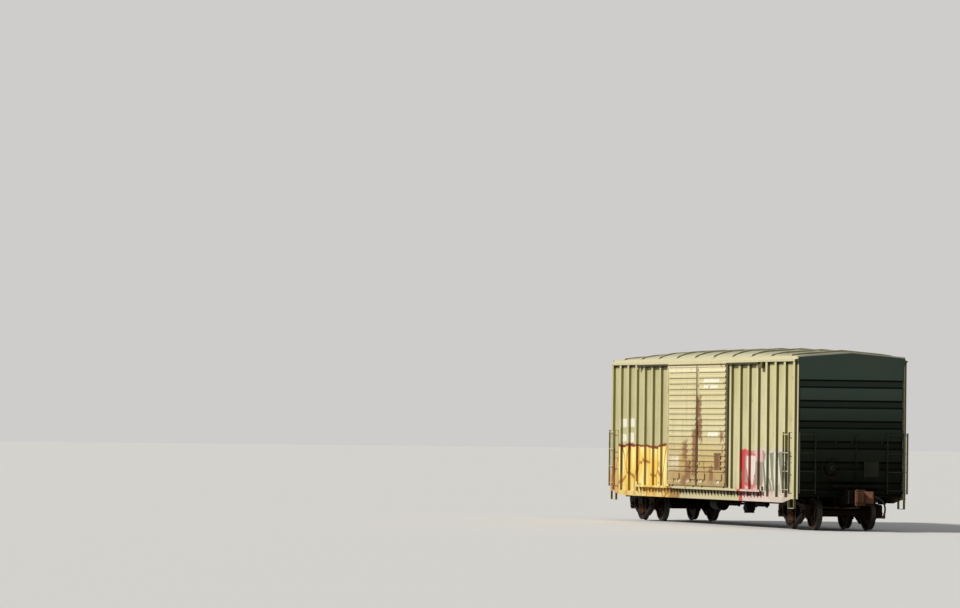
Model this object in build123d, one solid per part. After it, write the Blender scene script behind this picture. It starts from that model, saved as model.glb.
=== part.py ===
from build123d import *
import math
import os

# A fifty foot railroad boxcar with outside posts and a double sliding door on each side.
# All sizes are in millimetres. X runs along the car towards the hand brake end (the B end),
# Y across it, Z up. The left side is -Y, seen by someone who faces the B end.
# The wheels' flanges reach Z = 0, so the rail top is one flange height above it.

# Driving sizes of the load space and the body
inside_length = 15392
inside_width = 2896
inside_height = 3353
floor_height = 1100            # top of the floor above the rail top
floor_thickness = 57
side_lining = 42               # sheet and lining of a side wall together
side_post_depth = 67
end_lining = 104               # lining and flat sheet of an end wall together
end_rib_depth = 50
end_rib_pitch = 535
end_rib_groove = 180
roof_rise = 240                # ridge over the eave along the level middle of the roof
roof_end_rise = 125            # ridge over the eave at the ends
roof_knee = 165                # where the steep lower slope ends: its height over the eave
roof_end_knee = 40             # the same at the ends
roof_knee_inset = 420          # and its distance in from the eave
roof_level = 3200              # half length of the level middle
roof_thickness = 35
roof_panels = 9                # whole panels, with a shorter one at each end
roof_end_panel = 730
seam_cap_height = 45
seam_cap_width = 90
seam_cap_inset = 60            # from the eave to a cap's lower end
posts_per_half = 8
post_face_width = 150
post_foot_width = 190
door_post_width = 300

# Driving sizes of the doors
door_opening = 4876
door_overlap = 112
door_thickness = 48
door_panel_thickness = 26
door_rib_pitch = 155
door_rib_height = 70
door_panels = [(3040, 6), (2056, 6), (1070, 5)]   # top rib's lower edge over the floor, number of ribs
door_clearance = 7
door_travel = 2440
roller_drop = 50               # a leaf's lower edge above its track
leaf_gap = 10
track_depth = 55               # depth of the lower track's front flange
track_bracket_pitch = 270

# Driving sizes of the running gear
coupler_reach = 1090           # coupler face beyond the flat end sheet
striker_depth = 510            # coupler face beyond the sill's mouth
truck_inset = 1500             # truck centre from the flat end sheet
wheelbase = 1727
wheel_diameter = 838
flange_height = 25
wheel_back_to_back = 1356
wheel_width = 140
journal_spacing = 2006
bearing_diameter = 220
bearing_width = 180
axle_diameter = 160
wheel_seat_diameter = 190
centre_plate_height = 654
centre_plate_diameter = 356
side_bearing_offset = 635
coupler_height = 876
running_gap = 0.3              # between a rolling or turning face and its seat
moving_gap = 6

# Heights above the flange tips, worked out from the sizes above
rail = flange_height
floor_top = rail + floor_height
floor_bottom = floor_top - floor_thickness
ceiling = floor_top + inside_height
sill_bottom = rail + 696
sill_top = rail + 835
sill_end_bottom = rail + 800
plate_bottom = ceiling - 48
plate_step = ceiling
eave = ceiling + 92
roof_seat = eave - roof_thickness
stringer_height = 76
stringer_y = (560, 1000)
beam_top = floor_bottom - stringer_height
draft_bottom = rail + 700
axle_height = rail + wheel_diameter / 2
coupler_z = rail + coupler_height
door_bottom = floor_top - 40
door_top = plate_bottom - 30
track_top = door_bottom - roller_drop
track_low = track_top - track_depth
plate_z = rail + centre_plate_height
side_bearing_top = rail + 742

# Half lengths and half widths
half_x = inside_length / 2
end_sheet_x = half_x + end_lining
end_rib_x = end_sheet_x + end_rib_depth
half_y = inside_width / 2
sheet_y = half_y + side_lining
post_y = sheet_y + side_post_depth
leaf_y = post_y + door_clearance
leaf_face_y = leaf_y + door_thickness
track_y = leaf_face_y + moving_gap
wide_y = track_y + 8           # outermost plane of tracks and ladders
corner_width = 220
corner_radius = 30
door_half = door_opening / 2
leaf_end = door_half + door_overlap
track_end = leaf_end + door_travel + 260
first_post = door_half + door_post_width / 2 + 71
last_post = end_sheet_x - 96
post_pitch = (last_post - first_post) / (posts_per_half - 1)
truck_x = end_sheet_x - truck_inset
face_x = end_sheet_x + coupler_reach
striker_x = face_x - striker_depth


def block(x0, x1, y0, y1, z0, z1):
    """A box between two corners."""
    size = Box(x1 - x0, y1 - y0, z1 - z0, align=(Align.MIN, Align.MIN, Align.MIN))
    return Pos(x0, y0, z0) * size


def outline(plane, points):
    """A flat face inside a closed line of points."""
    return plane * make_face(Polyline(*points, close=True))


def along_x(points, x0, x1):
    """A profile of (y, z) points carried along X."""
    return extrude(outline(Plane.YZ.offset(x0), points), x1 - x0)


def along_y(points, y0, y1):
    """A profile of (x, z) points carried along Y."""
    return extrude(outline(Plane.XZ.offset(-y1), points), y1 - y0)


def along_z(points, z0, z1):
    """A profile of (x, y) points carried up Z."""
    return extrude(outline(Plane.XY.offset(z0), points), z1 - z0)


def rod(points, diameter, bend):
    """A round bar along straight runs joined by arcs of one bend radius."""
    path = FilletPolyline(*points, radius=bend)
    start = Plane(origin=path @ 0, z_dir=path % 0)
    return sweep(start * Circle(diameter / 2), path=path)


def bar_y(x, z, y0, y1, diameter):
    """A round bar along Y."""
    return extrude(Plane.XZ.offset(-y1) * Pos(x, z) * Circle(diameter / 2), y1 - y0)


def bar_x(y, z, x0, x1, diameter):
    """A round bar along X."""
    return extrude(Plane.YZ.offset(x0) * Pos(y, z) * Circle(diameter / 2), x1 - x0)


def bar_z(x, y, z0, z1, diameter):
    """A round bar along Z."""
    return extrude(Plane.XY.offset(z0) * Pos(x, y) * Circle(diameter / 2), z1 - z0)


def both_sides(shapes):
    """The shapes and their mirror images across the car's middle plane Y = 0."""
    return shapes + [mirror(shape, about=Plane.XZ) for shape in shapes]


def both_ends(shapes):
    """The shapes and their mirror images across the plane X = 0."""
    return shapes + [mirror(shape, about=Plane.YZ) for shape in shapes]


def turned(shapes):
    """The shapes turned half round the vertical, for the other end of the car."""
    return [Rot(0, 0, 180) * shape for shape in shapes]


knee_y = sheet_y - roof_knee_inset


def roof_rises(x):
    """How far knee and ridge stand over the eave at x: most in the level middle, least over the ends."""
    share = max(0, min(1, (half_x - abs(x)) / (half_x - roof_level)))
    knee = roof_end_knee + share * (roof_knee - roof_end_knee)
    ridge = roof_end_rise + share * (roof_rise - roof_end_rise)
    return knee, ridge


def through(sections):
    """A solid through closed lines of (y, z) points at several x, with straight lines between them."""
    return loft([outline(Plane.YZ.offset(x), points) for x, points in sections], ruled=True)


# The body

def floor_boards():
    return [block(-half_x, half_x, -half_y, half_y, floor_bottom, floor_top)]


sill_web_y = 165               # inner face of a centre sill web
sill_web = 12
sill_flange_y = 240


def centre_sill():
    """An inverted channel with feet, from one striker to the other, with a frame at each mouth."""
    outer = sill_web_y + sill_web
    half = [(0, floor_bottom), (230, floor_bottom), (230, floor_bottom - 12), (outer, floor_bottom - 12)]
    half += [(outer, draft_bottom + 12), (sill_flange_y, draft_bottom + 12)]
    half += [(sill_flange_y, draft_bottom), (sill_web_y, draft_bottom)]
    half += [(sill_web_y, floor_bottom - 12), (0, floor_bottom - 12)]
    mirrored = [(-y, z) for y, z in reversed(half)]
    channel = along_x(half[:-1] + mirrored[1:], -striker_x, striker_x)
    mouth_floor = coupler_z - shank_half
    for x0 in (-striker_x, striker_x - 60):
        frame = block(x0, x0 + 60, -sill_flange_y, sill_flange_y, draft_bottom, floor_bottom)
        frame -= block(x0, x0 + 60, -125, 125, mouth_floor, coupler_z + 95)
        channel += frame
    return [channel]


side_sill_web_y = post_y - 12


def body_bolsters():
    """Arms from the centre sill to the side sills with the centre plates below the sill."""
    inner = sill_web_y + sill_web
    arm = [(inner, draft_bottom + 12), (sill_flange_y + 20, draft_bottom + 12), (400, rail + 760)]
    arm += [(side_sill_web_y, rail + 800), (side_sill_web_y, sill_top), (half_y, sill_top)]
    arm += [(half_y, beam_top), (inner, beam_top)]
    pad = [(side_sill_web_y - 170, rail + 660), (side_sill_web_y, rail + 660)]
    pad += [(side_sill_web_y, rail + 810), (side_sill_web_y - 170, rail + 806)]
    arms = []
    plates = []
    for x in (-truck_x, truck_x):
        beam = along_x(arm, x - 200, x + 200) + along_x(pad, x - 90, x + 90)
        beam += block(x - 150, x + 150, side_bearing_offset - 70, side_bearing_offset + 70,
                      side_bearing_top + moving_gap, rail + 775)
        arms.append(beam)
        plate = block(x - 260, x + 260, -sill_flange_y, sill_flange_y, draft_bottom - 12, draft_bottom)
        plate += bar_z(x, 0, plate_z, draft_bottom - 12, centre_plate_diameter)
        plates.append(plate)
    return both_sides(arms) + plates


crossbearer_x = [750, 2250, 3900]
crossbearer_low = sill_bottom + 75


def crossbearers():
    """Beams with a web and two flanges between the centre sill and the side sills."""
    inner = sill_web_y + sill_web
    web = [(inner, crossbearer_low), (side_sill_web_y, crossbearer_low), (side_sill_web_y, sill_top)]
    web += [(half_y, sill_top), (half_y, beam_top), (inner, beam_top)]
    beams = []
    for x in crossbearer_x:
        beam = along_x(web, x - 7, x + 7)
        beam += block(x - 75, x + 75, inner, side_sill_web_y, crossbearer_low, crossbearer_low + 14)
        beam += block(x - 60, x + 60, inner, half_y, beam_top - 12, beam_top)
        beams.append(beam)
    return both_sides(both_ends(beams))


end_beam_x = half_x - 60


def floor_stringers():
    """Four light channels under the floor, from one end beam to the other."""
    rails = []
    for y in stringer_y:
        profile = [(y - 30, beam_top), (y + 30, beam_top), (y + 30, beam_top + 8), (y - 22, beam_top + 8)]
        profile += [(y - 22, floor_bottom - 8), (y + 30, floor_bottom - 8), (y + 30, floor_bottom)]
        profile += [(y - 30, floor_bottom)]
        rails.append(along_x(profile, -end_beam_x, end_beam_x))
    return both_sides(rails)


def end_beams():
    """The cross beams under the ends of the floor, beside the centre sill."""
    beam = block(end_beam_x, half_x, 232, half_y, rail + 870, floor_bottom)
    return both_sides(both_ends([beam]))


def side_sills():
    """Deep channels along the sides, cut up at a slant near the ends, open towards the middle."""
    slant_end = end_sheet_x - 250
    slant_start = slant_end - 650
    face = [(-slant_end, sill_end_bottom), (-slant_start, sill_bottom), (slant_start, sill_bottom)]
    face += [(slant_end, sill_end_bottom), (slant_end, sill_top), (-slant_end, sill_top)]
    web = along_y(face, side_sill_web_y, post_y)
    top = block(-slant_end, slant_end, half_y, side_sill_web_y, sill_top - 12, sill_top)
    lip = block(-slant_start, slant_start, half_y + 20, side_sill_web_y, sill_bottom, sill_bottom + 12)
    for x in (-truck_x, truck_x):
        lip -= block(x - 90, x + 90, half_y, side_sill_web_y, sill_bottom, sill_bottom + 12)
    for x in (-truck_x, truck_x):
        top -= block(x - 200, x + 200, half_y, side_sill_web_y, sill_top - 12, sill_top)
    for bearer in crossbearer_x:
        for x in (-bearer, bearer):
            top -= block(x - 75, x + 75, half_y, side_sill_web_y, sill_top - 12, sill_top)
    return both_sides([web + top + lip])


def wall_half():
    """One half of a side: the sheet and its outside posts, from the door post to the corner post."""
    start = door_half + door_post_width
    end = end_sheet_x - corner_width
    points = [(start, half_y), (start, sheet_y)]
    for i in range(1, posts_per_half - 1):
        x = first_post + i * post_pitch
        points += [(x - post_foot_width / 2, sheet_y), (x - post_face_width / 2, post_y)]
        points += [(x + post_face_width / 2, post_y), (x + post_foot_width / 2, sheet_y)]
    points += [(end, sheet_y), (end, half_y)]
    return along_z(points, sill_top, plate_bottom)


def door_frames():
    """Jambs, header and threshold of a doorway, each a piece by itself."""
    x1 = door_half + door_post_width
    jamb = along_z([(door_half, half_y), (door_half, post_y), (x1 - 20, post_y), (x1, sheet_y), (x1, half_y)],
                   sill_top, plate_bottom)
    gap = 0.5
    header = block(-door_half + gap, door_half - gap, half_y, post_y, plate_bottom - 120, plate_bottom)
    step = [(half_y, sill_top), (sheet_y, sill_top), (sheet_y, track_low), (post_y, track_low)]
    step += [(post_y, floor_top), (half_y, floor_top)]
    threshold = along_x(step, -door_half + gap, door_half - gap)
    return both_sides([jamb, mirror(jamb, about=Plane.YZ), header, threshold])


def corner_posts():
    """The last outside post with the rounded corner beside it, from the foot block to the side plate."""
    x0 = end_sheet_x - corner_width
    face = post_face_width / 2
    points = [(x0, half_y), (x0, sheet_y), (last_post - post_foot_width / 2, sheet_y)]
    points += [(last_post - face, post_y), (last_post + face, post_y), (last_post + face + 10, sheet_y)]
    points += [(end_rib_x, sheet_y), (end_rib_x, half_y)]
    post = along_z(points, sill_end_bottom, plate_bottom)
    corner = post.edges().filter_by(Axis.Z).filter_by_position(Axis.X, end_rib_x - 1, end_rib_x + 1)
    post = fillet(corner.sort_by(Axis.Y)[-1:], corner_radius)
    foot = block(end_sheet_x - 250, end_sheet_x, half_y, post_y, sill_end_bottom, sill_top)
    return both_sides(both_ends([post + foot]))


end_first_groove = floor_top + 2785
end_ribs = 6


def end_rib_top(i):
    """Height of the upper edge of the face of rib i, counted from the top."""
    return end_first_groove - i * end_rib_pitch - end_rib_groove


def end_wall():
    """An end: flat lining, level ribs that run right across, and a plain gabled top flush with the ribs."""
    slope = 55
    points = [(half_x, rail + 870), (half_x, plate_bottom), (end_rib_x, plate_bottom)]
    points += [(end_rib_x, end_first_groove + slope), (end_sheet_x, end_first_groove)]
    for i in range(end_ribs):
        rib_top = end_rib_top(i)
        rib_low = max(rib_top + end_rib_groove - end_rib_pitch, rail + 900)
        points += [(end_sheet_x, rib_top + slope), (end_rib_x, rib_top)]
        points += [(end_rib_x, rib_low + slope), (end_sheet_x, rib_low)]
    points += [(end_sheet_x, rail + 870)]
    wall = along_y(points, -half_y, half_y)
    gable = [(-sheet_y, plate_bottom), (sheet_y, plate_bottom)] + roof_underside(half_x)
    head = along_x(gable, half_x, end_rib_x)
    notch = block(half_x, end_rib_x, -232, 232, rail + 860, floor_bottom)
    return wall + head - notch


def side_plates():
    """Long beams over the posts: a lip in front of the post tops and a fascia up to the roof."""
    lip_y = post_y + 18
    points = [(half_y, plate_bottom), (lip_y, plate_bottom), (lip_y, plate_step), (sheet_y, plate_step + 25)]
    points += [(sheet_y, roof_seat), (half_y, roof_seat)]
    beam = along_x(points, -half_x, half_x)
    lip = [(sheet_y, plate_bottom), (lip_y, plate_bottom), (lip_y, plate_step), (sheet_y, plate_step + 25)]
    return both_sides([beam + along_x(lip, -end_sheet_x, end_sheet_x)])


def roof_line(x, lift=0, inset=0):
    """Points of the roof's outer face at x, from the left eave over the ridge to the right one."""
    knee, ridge = roof_rises(x)
    foot = eave + lift + knee * inset / roof_knee_inset
    points = [(-sheet_y + inset, foot), (-knee_y, eave + knee + lift), (0, eave + ridge + lift)]
    return points + [(knee_y, eave + knee + lift), (sheet_y - inset, foot)]


def roof_underside(x):
    """Points of the roof's inner face at x, from the right seat on the side plate to the left one."""
    inner = [(y, z - roof_thickness) for y, z in reversed(roof_line(x)[1:-1])]
    return [(sheet_y, roof_seat), (half_y, roof_seat)] + inner + [(-half_y, roof_seat), (-sheet_y, roof_seat)]


def roof():
    """Sheet over the car, steep near the eaves, whose ridge is level in the middle and falls to the ends."""
    stations = (-end_rib_x, -half_x, -roof_level, roof_level, half_x, end_rib_x)
    return [through([(x, roof_line(x) + roof_underside(x)) for x in stations])]


def roof_seam_caps():
    """Raised caps over the joints of the roof panels, seated on the sheet, their ends sloped."""
    first = -end_sheet_x + roof_end_panel
    caps = []
    for i in range(roof_panels + 1):
        x = first - 2 * first * i / roof_panels
        band = []
        for edge in (x - seam_cap_width / 2, x + seam_cap_width / 2):
            top = roof_line(edge, seam_cap_height, seam_cap_inset + 30)
            band.append((edge, roof_line(edge, 0, seam_cap_inset) + top[::-1]))
        caps.append(through(band))
    return caps


def upper_door_tracks():
    """A rail over the leaves with a flange that hangs in front of their top edge."""
    top = plate_bottom
    points = [(post_y, top), (wide_y, top), (wide_y, door_top - 25), (track_y, door_top - 25)]
    points += [(track_y, top - 12), (post_y, top - 12)]
    return both_sides([along_x(points, -track_end, track_end)])


def lower_door_tracks():
    """An angle bar under the leaves, on small brackets that reach down over the side sill's face."""
    ledge = track_top - 15
    front = wide_y - 8
    angle = [(post_y, track_top), (wide_y, track_top), (wide_y, track_low), (front, track_low)]
    bar = along_x(angle + [(front, ledge), (post_y, ledge)], -track_end, track_end)
    gusset = [(post_y, ledge), (front, ledge), (front, track_low), (post_y + 12, sill_top - 45)]
    gusset += [(post_y, sill_top - 45)]
    half = 15
    brackets = round(2 * track_end / track_bracket_pitch)
    for i in range(brackets + 1):
        x = (track_end - half) * (2 * i / brackets - 1)
        bar += along_x(gusset, x - half, x + half)
    return both_sides([bar])


ladder_rungs = 4
rung_pitch = 483
first_rung = rail + 1040
stile = (12, 50)
ladder_foot = 50


def wall_face(x):
    """The plane that a foot on the side reaches at x: a post's face or the sheet between posts."""
    reach = post_foot_width / 2 + ladder_foot / 2
    for i in range(posts_per_half):
        if abs(abs(x) - first_post - i * post_pitch) < reach:
            return post_y
    return sheet_y


def side_ladder(x):
    """Two flat stiles with round rungs, on feet that reach the side sheet or a post."""
    width = 450
    depth = stile[1]
    top = first_rung + (ladder_rungs - 1) * rung_pitch + 60
    ladder = None
    for side in (-1, 1):
        sx = x + side * width / 2
        bar = block(sx - stile[0] / 2, sx + stile[0] / 2, wide_y - depth, wide_y, first_rung - 90, top)
        for z in (first_rung - 90, first_rung + 700, top - stile[0]):
            bar += block(sx - ladder_foot / 2, sx + ladder_foot / 2, wall_face(sx), wide_y - depth + 10,
                         z, z + stile[0])
        ladder = bar if ladder is None else ladder + bar
    for i in range(ladder_rungs):
        ladder += bar_x(wide_y - 14, first_rung + i * rung_pitch, x - width / 2, x + width / 2, 20)
    return ladder


def side_ladders():
    """Low ladders near the four corners, placed alike when the car is turned half round."""
    near = mirror(side_ladder(end_sheet_x - 515), about=Plane.XZ)
    far = mirror(side_ladder(-(end_sheet_x - 250)), about=Plane.XZ)
    return [near, far] + turned([near, far])


def end_ladders():
    """Low ladders on the ends, beside the corner posts."""
    x1 = end_rib_x + 70
    top = first_rung + (ladder_rungs - 1) * rung_pitch + 60
    ladder = None
    for y in end_ladder_y:
        bar = block(x1 - stile[1], x1, y - stile[0] / 2, y + stile[0] / 2, first_rung - 90, top)
        for z in (end_rib_top(5) - 70, end_rib_top(4) - 70, top - 20):
            bar += block(end_rib_x, x1 - stile[1] + 10, y - ladder_foot / 2, y + ladder_foot / 2,
                         z, z + stile[0])
        ladder = bar if ladder is None else ladder + bar
    for i in range(ladder_rungs):
        ladder += bar_y(x1 - 14, first_rung + i * rung_pitch, *end_ladder_y, 20)
    return both_sides(both_ends([ladder]))


def sill_steps():
    """Bent straps that hang under the corners as foot steps."""
    tread = rail + 553
    x0 = end_sheet_x - 465
    x1 = end_sheet_x - 35
    y0 = post_y - 60
    y1 = post_y
    strap = 14
    step = block(x0, x1, y0, y1, tread, tread + strap)
    step += block(x0, x0 + strap, y0, y1, tread, sill_step_top(x0))
    step += block(x1 - strap, x1, y0, y1, tread, sill_end_bottom)
    return both_sides(both_ends([step]))


def sill_step_top(x):
    """Height of the side sill's slanting lower edge at x, where a step's inner leg meets it."""
    slant_end = end_sheet_x - 250
    slant_start = slant_end - 650
    share = min(1, (x - slant_start) / (slant_end - slant_start))
    return sill_bottom + (sill_end_bottom - sill_bottom) * share


end_ladder_y = (half_y - 445, half_y - 5)
brake_wheel_y = -580
brake_wheel_z = floor_top + 520
brake_wheel_x = end_rib_x + 190
# The grating runs from beside the brake chain to a foot's width before the ladder
platform_y = (brake_wheel_y + 35, end_ladder_y[0] - 223)


def crossover_platforms():
    """Gratings across the ends over the draft sill, on two brackets each."""
    z0 = floor_top + 30
    x0 = end_rib_x + 8
    x1 = x0 + 270
    grate = None
    bars = 8
    for i in range(bars):
        x = x0 + i * (x1 - x0 - 8) / (bars - 1)
        bar = block(x, x + 8, platform_y[0], platform_y[1], z0, z0 + 40)
        grate = bar if grate is None else grate + bar
    ties = 7
    for i in range(ties):
        y = platform_y[0] + i * (platform_y[1] - platform_y[0] - 12) / (ties - 1)
        grate += block(x0, x1, y, y + 12, z0 + 4, z0 + 36)
    for y in (-190, 178):
        grate += block(x0, x1, y, y + 12, floor_bottom, z0 + 4)
    for y in (platform_y[0] + 100, platform_y[1] - 112):
        grate += block(end_sheet_x, x0 + 4, y, y + 12, z0 + 4, z0 + 36)
    return [grate] + turned([grate])


# Couplers and hoses

shank_half = 65
head_low = coupler_z - 160
head_high = coupler_z + 150
knuckle_half = 130
lug_low = coupler_z - 220
lug_high = coupler_z + 190


def coupler_body():
    """Shank and head of a coupler with its guard arm and the tall lugs that hold the knuckle's pin."""
    shank = block(end_sheet_x - 100, face_x - 300, -70, 70, coupler_z - shank_half, coupler_z + shank_half)
    head = [(-340, -70), (-340, 70), (-240, 175), (-90, 195), (10, 235), (52, 238), (48, 205), (-15, 165)]
    head += [(-95, 70), (-150, 40), (-165, -60), (-150, -110), (-100, -120), (-62, -165), (-70, -205)]
    head += [(-240, -175)]
    body = along_z([(face_x + x, y) for x, y in head], head_low, head_high)
    lug = [(-250, -165), (-235, 70), (-170, 95), (-150, -60), (-80, -125), (-85, -190)]
    for z0, z1 in ((lug_low, head_low), (head_high, lug_high)):
        body += along_z([(face_x + x, y) for x, y in lug], z0, z1)
    pin = bar_z(face_x - 120, -150, lug_low - 20, lug_high + 12, 42)
    return [shank + body + pin]


def coupler_knuckle():
    """The hook that closes round the next car's hook, standing between the coupler's lugs."""
    hook = [(-150, -110), (-100, -120), (-62, -165), (-48, -207), (-10, -187), (2, -120), (0, -55)]
    hook += [(-14, -12), (-40, 4), (-66, -12), (-72, -50), (-90, -68), (-146, -70)]
    shape = along_z([(face_x + x, y) for x, y in hook], coupler_z - knuckle_half, coupler_z + knuckle_half)
    nose = shape.edges().filter_by(Axis.Z).filter_by_position(Axis.X, face_x - 45, face_x + 10)
    return [fillet(nose, 8)]


def uncoupling_lever():
    """A bent rod from a handle at the corner to the coupler, on two brackets under the end."""
    x = end_rib_x + 250
    z = rail + 590
    points = [(x + 60, -1110, rail + 330), (x + 30, -1075, z), (x, -930, z + 6), (x, -300, z - 20)]
    points += [(face_x - 200, -60, z + 10)]
    lever = rod(points, 24, 22)
    for y in (-880, -420):
        lever += block(x - 14, x + 14, y - 6, y + 6, z - 30, z + 20)
        lever += block(end_sheet_x - 30, x + 14, y - 6, y + 6, z - 14, z + 20)
        lever += block(end_sheet_x - 30, end_sheet_x, y - 6, y + 6, z - 14, rail + 870)
    lever += block(face_x - 215, face_x - 185, -75, -45, z - 4, lug_low)
    return [lever]


hose_diameter = 50
hose_y = 330
# Route of the hose's middle line from the angle cock's mouth down to its coupling
hose_start = (face_x - 240, hose_y + 45, rail + 880)
hose_steps = [(8, 87, -22), (14, 81, -51), (16, 62, -76), (12, 34, -90), (6, 7, -95), (2, -20, -90)]


def stations(start, steps):
    """The points reached from a start by one step after another."""
    points = [start]
    for step in steps:
        points.append(tuple(a + b for a, b in zip(points[-1], step)))
    return points


hose_route = stations(hose_start, hose_steps)


def hose_radii(route):
    """For each inner point, 0.45 of the shorter run over the tangent of half the turn."""
    radii = []
    for a, b, c in zip(route, route[1:], route[2:]):
        before = Vector(*b) - Vector(*a)
        after = Vector(*c) - Vector(*b)
        turn = math.radians(before.get_angle(after))
        radii.append(0.45 * min(before.length, after.length) / math.tan(turn / 2))
    return radii


def air_hose():
    """A rubber brake hose that hangs from its angle cock."""
    radii = hose_radii(hose_route)
    path = FilletPolyline(*hose_route, radius=radii)
    start = Plane(origin=path @ 0, z_dir=path % 0)
    tube = sweep(start * Circle(hose_diameter / 2), path=path)
    expected = math.pi * (hose_diameter / 2) ** 2 * path.length
    print("hose length", round(path.length), "radii", [round(r) for r in radii],
          "volume ratio", round(tube.volume / expected, 4))
    return [tube]


def hose_coupling():
    """The casting on the hose's free end: a sleeve and a flat hooked head."""
    end = Vector(*hose_route[-1])
    direction = (end - Vector(*hose_route[-2])).normalized()
    sleeve = extrude(Plane(origin=end, z_dir=direction) * Circle(30), 70)
    head_at = end + direction * 95
    head = block(head_at.X - 20, head_at.X + 20, head_at.Y - 55, head_at.Y + 40,
                 head_at.Z - 42, head_at.Z + 42)
    head = fillet(head.edges().filter_by(Axis.X), 25)
    return [sleeve + head]


pipe_z = rail + 672
pipe_diameter = 42


def brake_pipe():
    """The air pipe that runs the length of the car and ends in an angle cock at each end."""
    cross = crossbearer_x[1] + 250
    rise_x = face_x - 420
    path = [(-rise_x, -hose_y, pipe_z), (-cross - 600, -hose_y, pipe_z), (-cross, hose_y, pipe_z)]
    path += [(rise_x, hose_y, pipe_z)]
    pipe = rod(path, pipe_diameter, 120)
    hangers = [(x, hose_y) for x in crossbearer_x] + [(-x, hose_y) for x in crossbearer_x[:2]]
    for x, y in hangers + [(-crossbearer_x[2], -hose_y)]:
        pipe += block(x - 12, x + 12, y - 16, y + 16, pipe_z, crossbearer_low)
    for sign in (-1, 1):
        riser = [(rise_x, hose_y, pipe_z), (rise_x + 60, hose_y, pipe_z + 30)]
        riser += [(face_x - 275, hose_y, rail + 850), (face_x - 245, hose_y, rail + 884)]
        upright = rod(riser, pipe_diameter, 25)
        cock = block(face_x - 275, face_x - 210, hose_y - 30, hose_y + 28, rail + 850, rail + 922)
        cock += cock_neck()
        cock += block(face_x - 250, face_x - 234, hose_y - 8, hose_y + 8, rail + 920, rail + 945)
        cock += block(face_x - 250, face_x - 234, hose_y - 90, hose_y + 8, rail + 940, rail + 950)
        end = upright + cock
        pipe += end if sign > 0 else Rot(0, 0, 180) * end
    return [pipe]


def cock_neck():
    """The mouth of the angle cock that the hose is pushed into, in line with its first run."""
    first = Vector(*hose_route[0])
    direction = (Vector(*hose_route[1]) - first).normalized()
    return extrude(Plane(origin=first - direction * 40, z_dir=direction) * Circle(32), 40)


# Brake gear on the body

brake_y = 750
brake_z = rail + 560
lever_half = 25


def brake_cylinder():
    """A round cylinder with a mounting plate up to the crossbearers and a push rod."""
    x0 = -crossbearer_x[0] - 80
    drum = bar_x(-brake_y, brake_z, x0, x0 + 620, 330)
    drum += bar_x(-brake_y, brake_z, x0 + 600, x0 + 640, 370)
    drum += bar_x(-brake_y, brake_z, x0 + 640, -lever_half, 60)
    drum += block(x0 + 50, x0 + 110, -brake_y - 120, -brake_y + 120, brake_z, crossbearer_low)
    return [drum]


strap_thickness = 20


def stringer_strap(x, y):
    """A flat bar under the pair of floor stringers on the side of y."""
    low, high = sorted(math.copysign(reach, y) for reach in (stringer_y[0] - 30, stringer_y[1] + 30))
    return block(x - 30, x + 30, low, high, beam_top - strap_thickness, beam_top)


def air_reservoir():
    """A two chamber tank with domed ends, hung from the floor stringers between two crossbearers."""
    x0 = -crossbearer_x[1] + 120
    x1 = -crossbearer_x[0] - 120
    radius = 200
    z = beam_top - radius - 42
    tank = bar_x(brake_y, z, x0, x1, 2 * radius)
    tank = fillet(tank.edges().filter_by(GeomType.CIRCLE), 70)
    middle = (x0 + x1) / 2
    tank += bar_x(brake_y, z, middle - 20, middle + 20, 2 * radius + 40)
    for x in (middle - 300, middle + 300):
        tank += stringer_strap(x, brake_y)
        tank += block(x - 30, x + 30, brake_y - 110, brake_y + 110, z, beam_top - strap_thickness)
    return [tank]


def control_valve():
    """The valve's pipe bracket with a round portion on each side, hung from the floor stringers."""
    x = crossbearer_x[1] - 260
    bottom = brake_z - 215
    top = brake_z + 130
    radius = 125
    body = block(x - 60, x + 60, -brake_y - radius, -brake_y + radius, bottom, top)
    body += block(x - 30, x + 30, -brake_y - 90, -brake_y + 90, top, beam_top - strap_thickness)
    body += bar_x(-brake_y, bottom + radius + 10, x - 150, x + 150, 2 * radius)
    return [body + stringer_strap(x, -brake_y)]


def brake_rods():
    """Two pull rods from the middle towards the trucks, in guides under the centre sill."""
    z = rail + 612
    rods = []
    for y, x0, x1 in ((60, 0, truck_x - 1500), (-60, -(truck_x - 1500), 0)):
        pull = bar_x(y, z, x0, x1, 28)
        reach = 1 if x1 > 0 else -1
        for x in (1100 * reach, 3600 * reach):
            pull += guide(x, y, z)
        rods.append(pull)
    lever = block(-lever_half, lever_half, -brake_y, 90, z - 40, z - 14)
    rods[0] += lever
    return rods


def guide(x, y, z):
    """A strap that holds a pull rod under the centre sill's foot."""
    side = sill_web_y + 20 if y > 0 else -sill_web_y - 20
    strap = block(x - 15, x + 15, min(y, side) - 10, max(y, side) + 10, z - 14, z + 14)
    return strap + block(x - 15, x + 15, side - 10, side + 10, z - 14, draft_bottom)


def hand_brake():
    """Gear housing on the end, with a chain guide below it."""
    x0 = end_rib_x
    y = brake_wheel_y
    z = brake_wheel_z
    box = block(x0, x0 + 120, y - 140, y + 140, z - 190, z + 170)
    box = fillet(box.edges().filter_by(Axis.X), 60)
    box += block(x0, x0 + 50, y - 45, y + 45, z - 300, z - 180)
    chain = bar_z(x0 + 28, y, rail + 905, z - 290, 26)
    return [box + chain]


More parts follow.
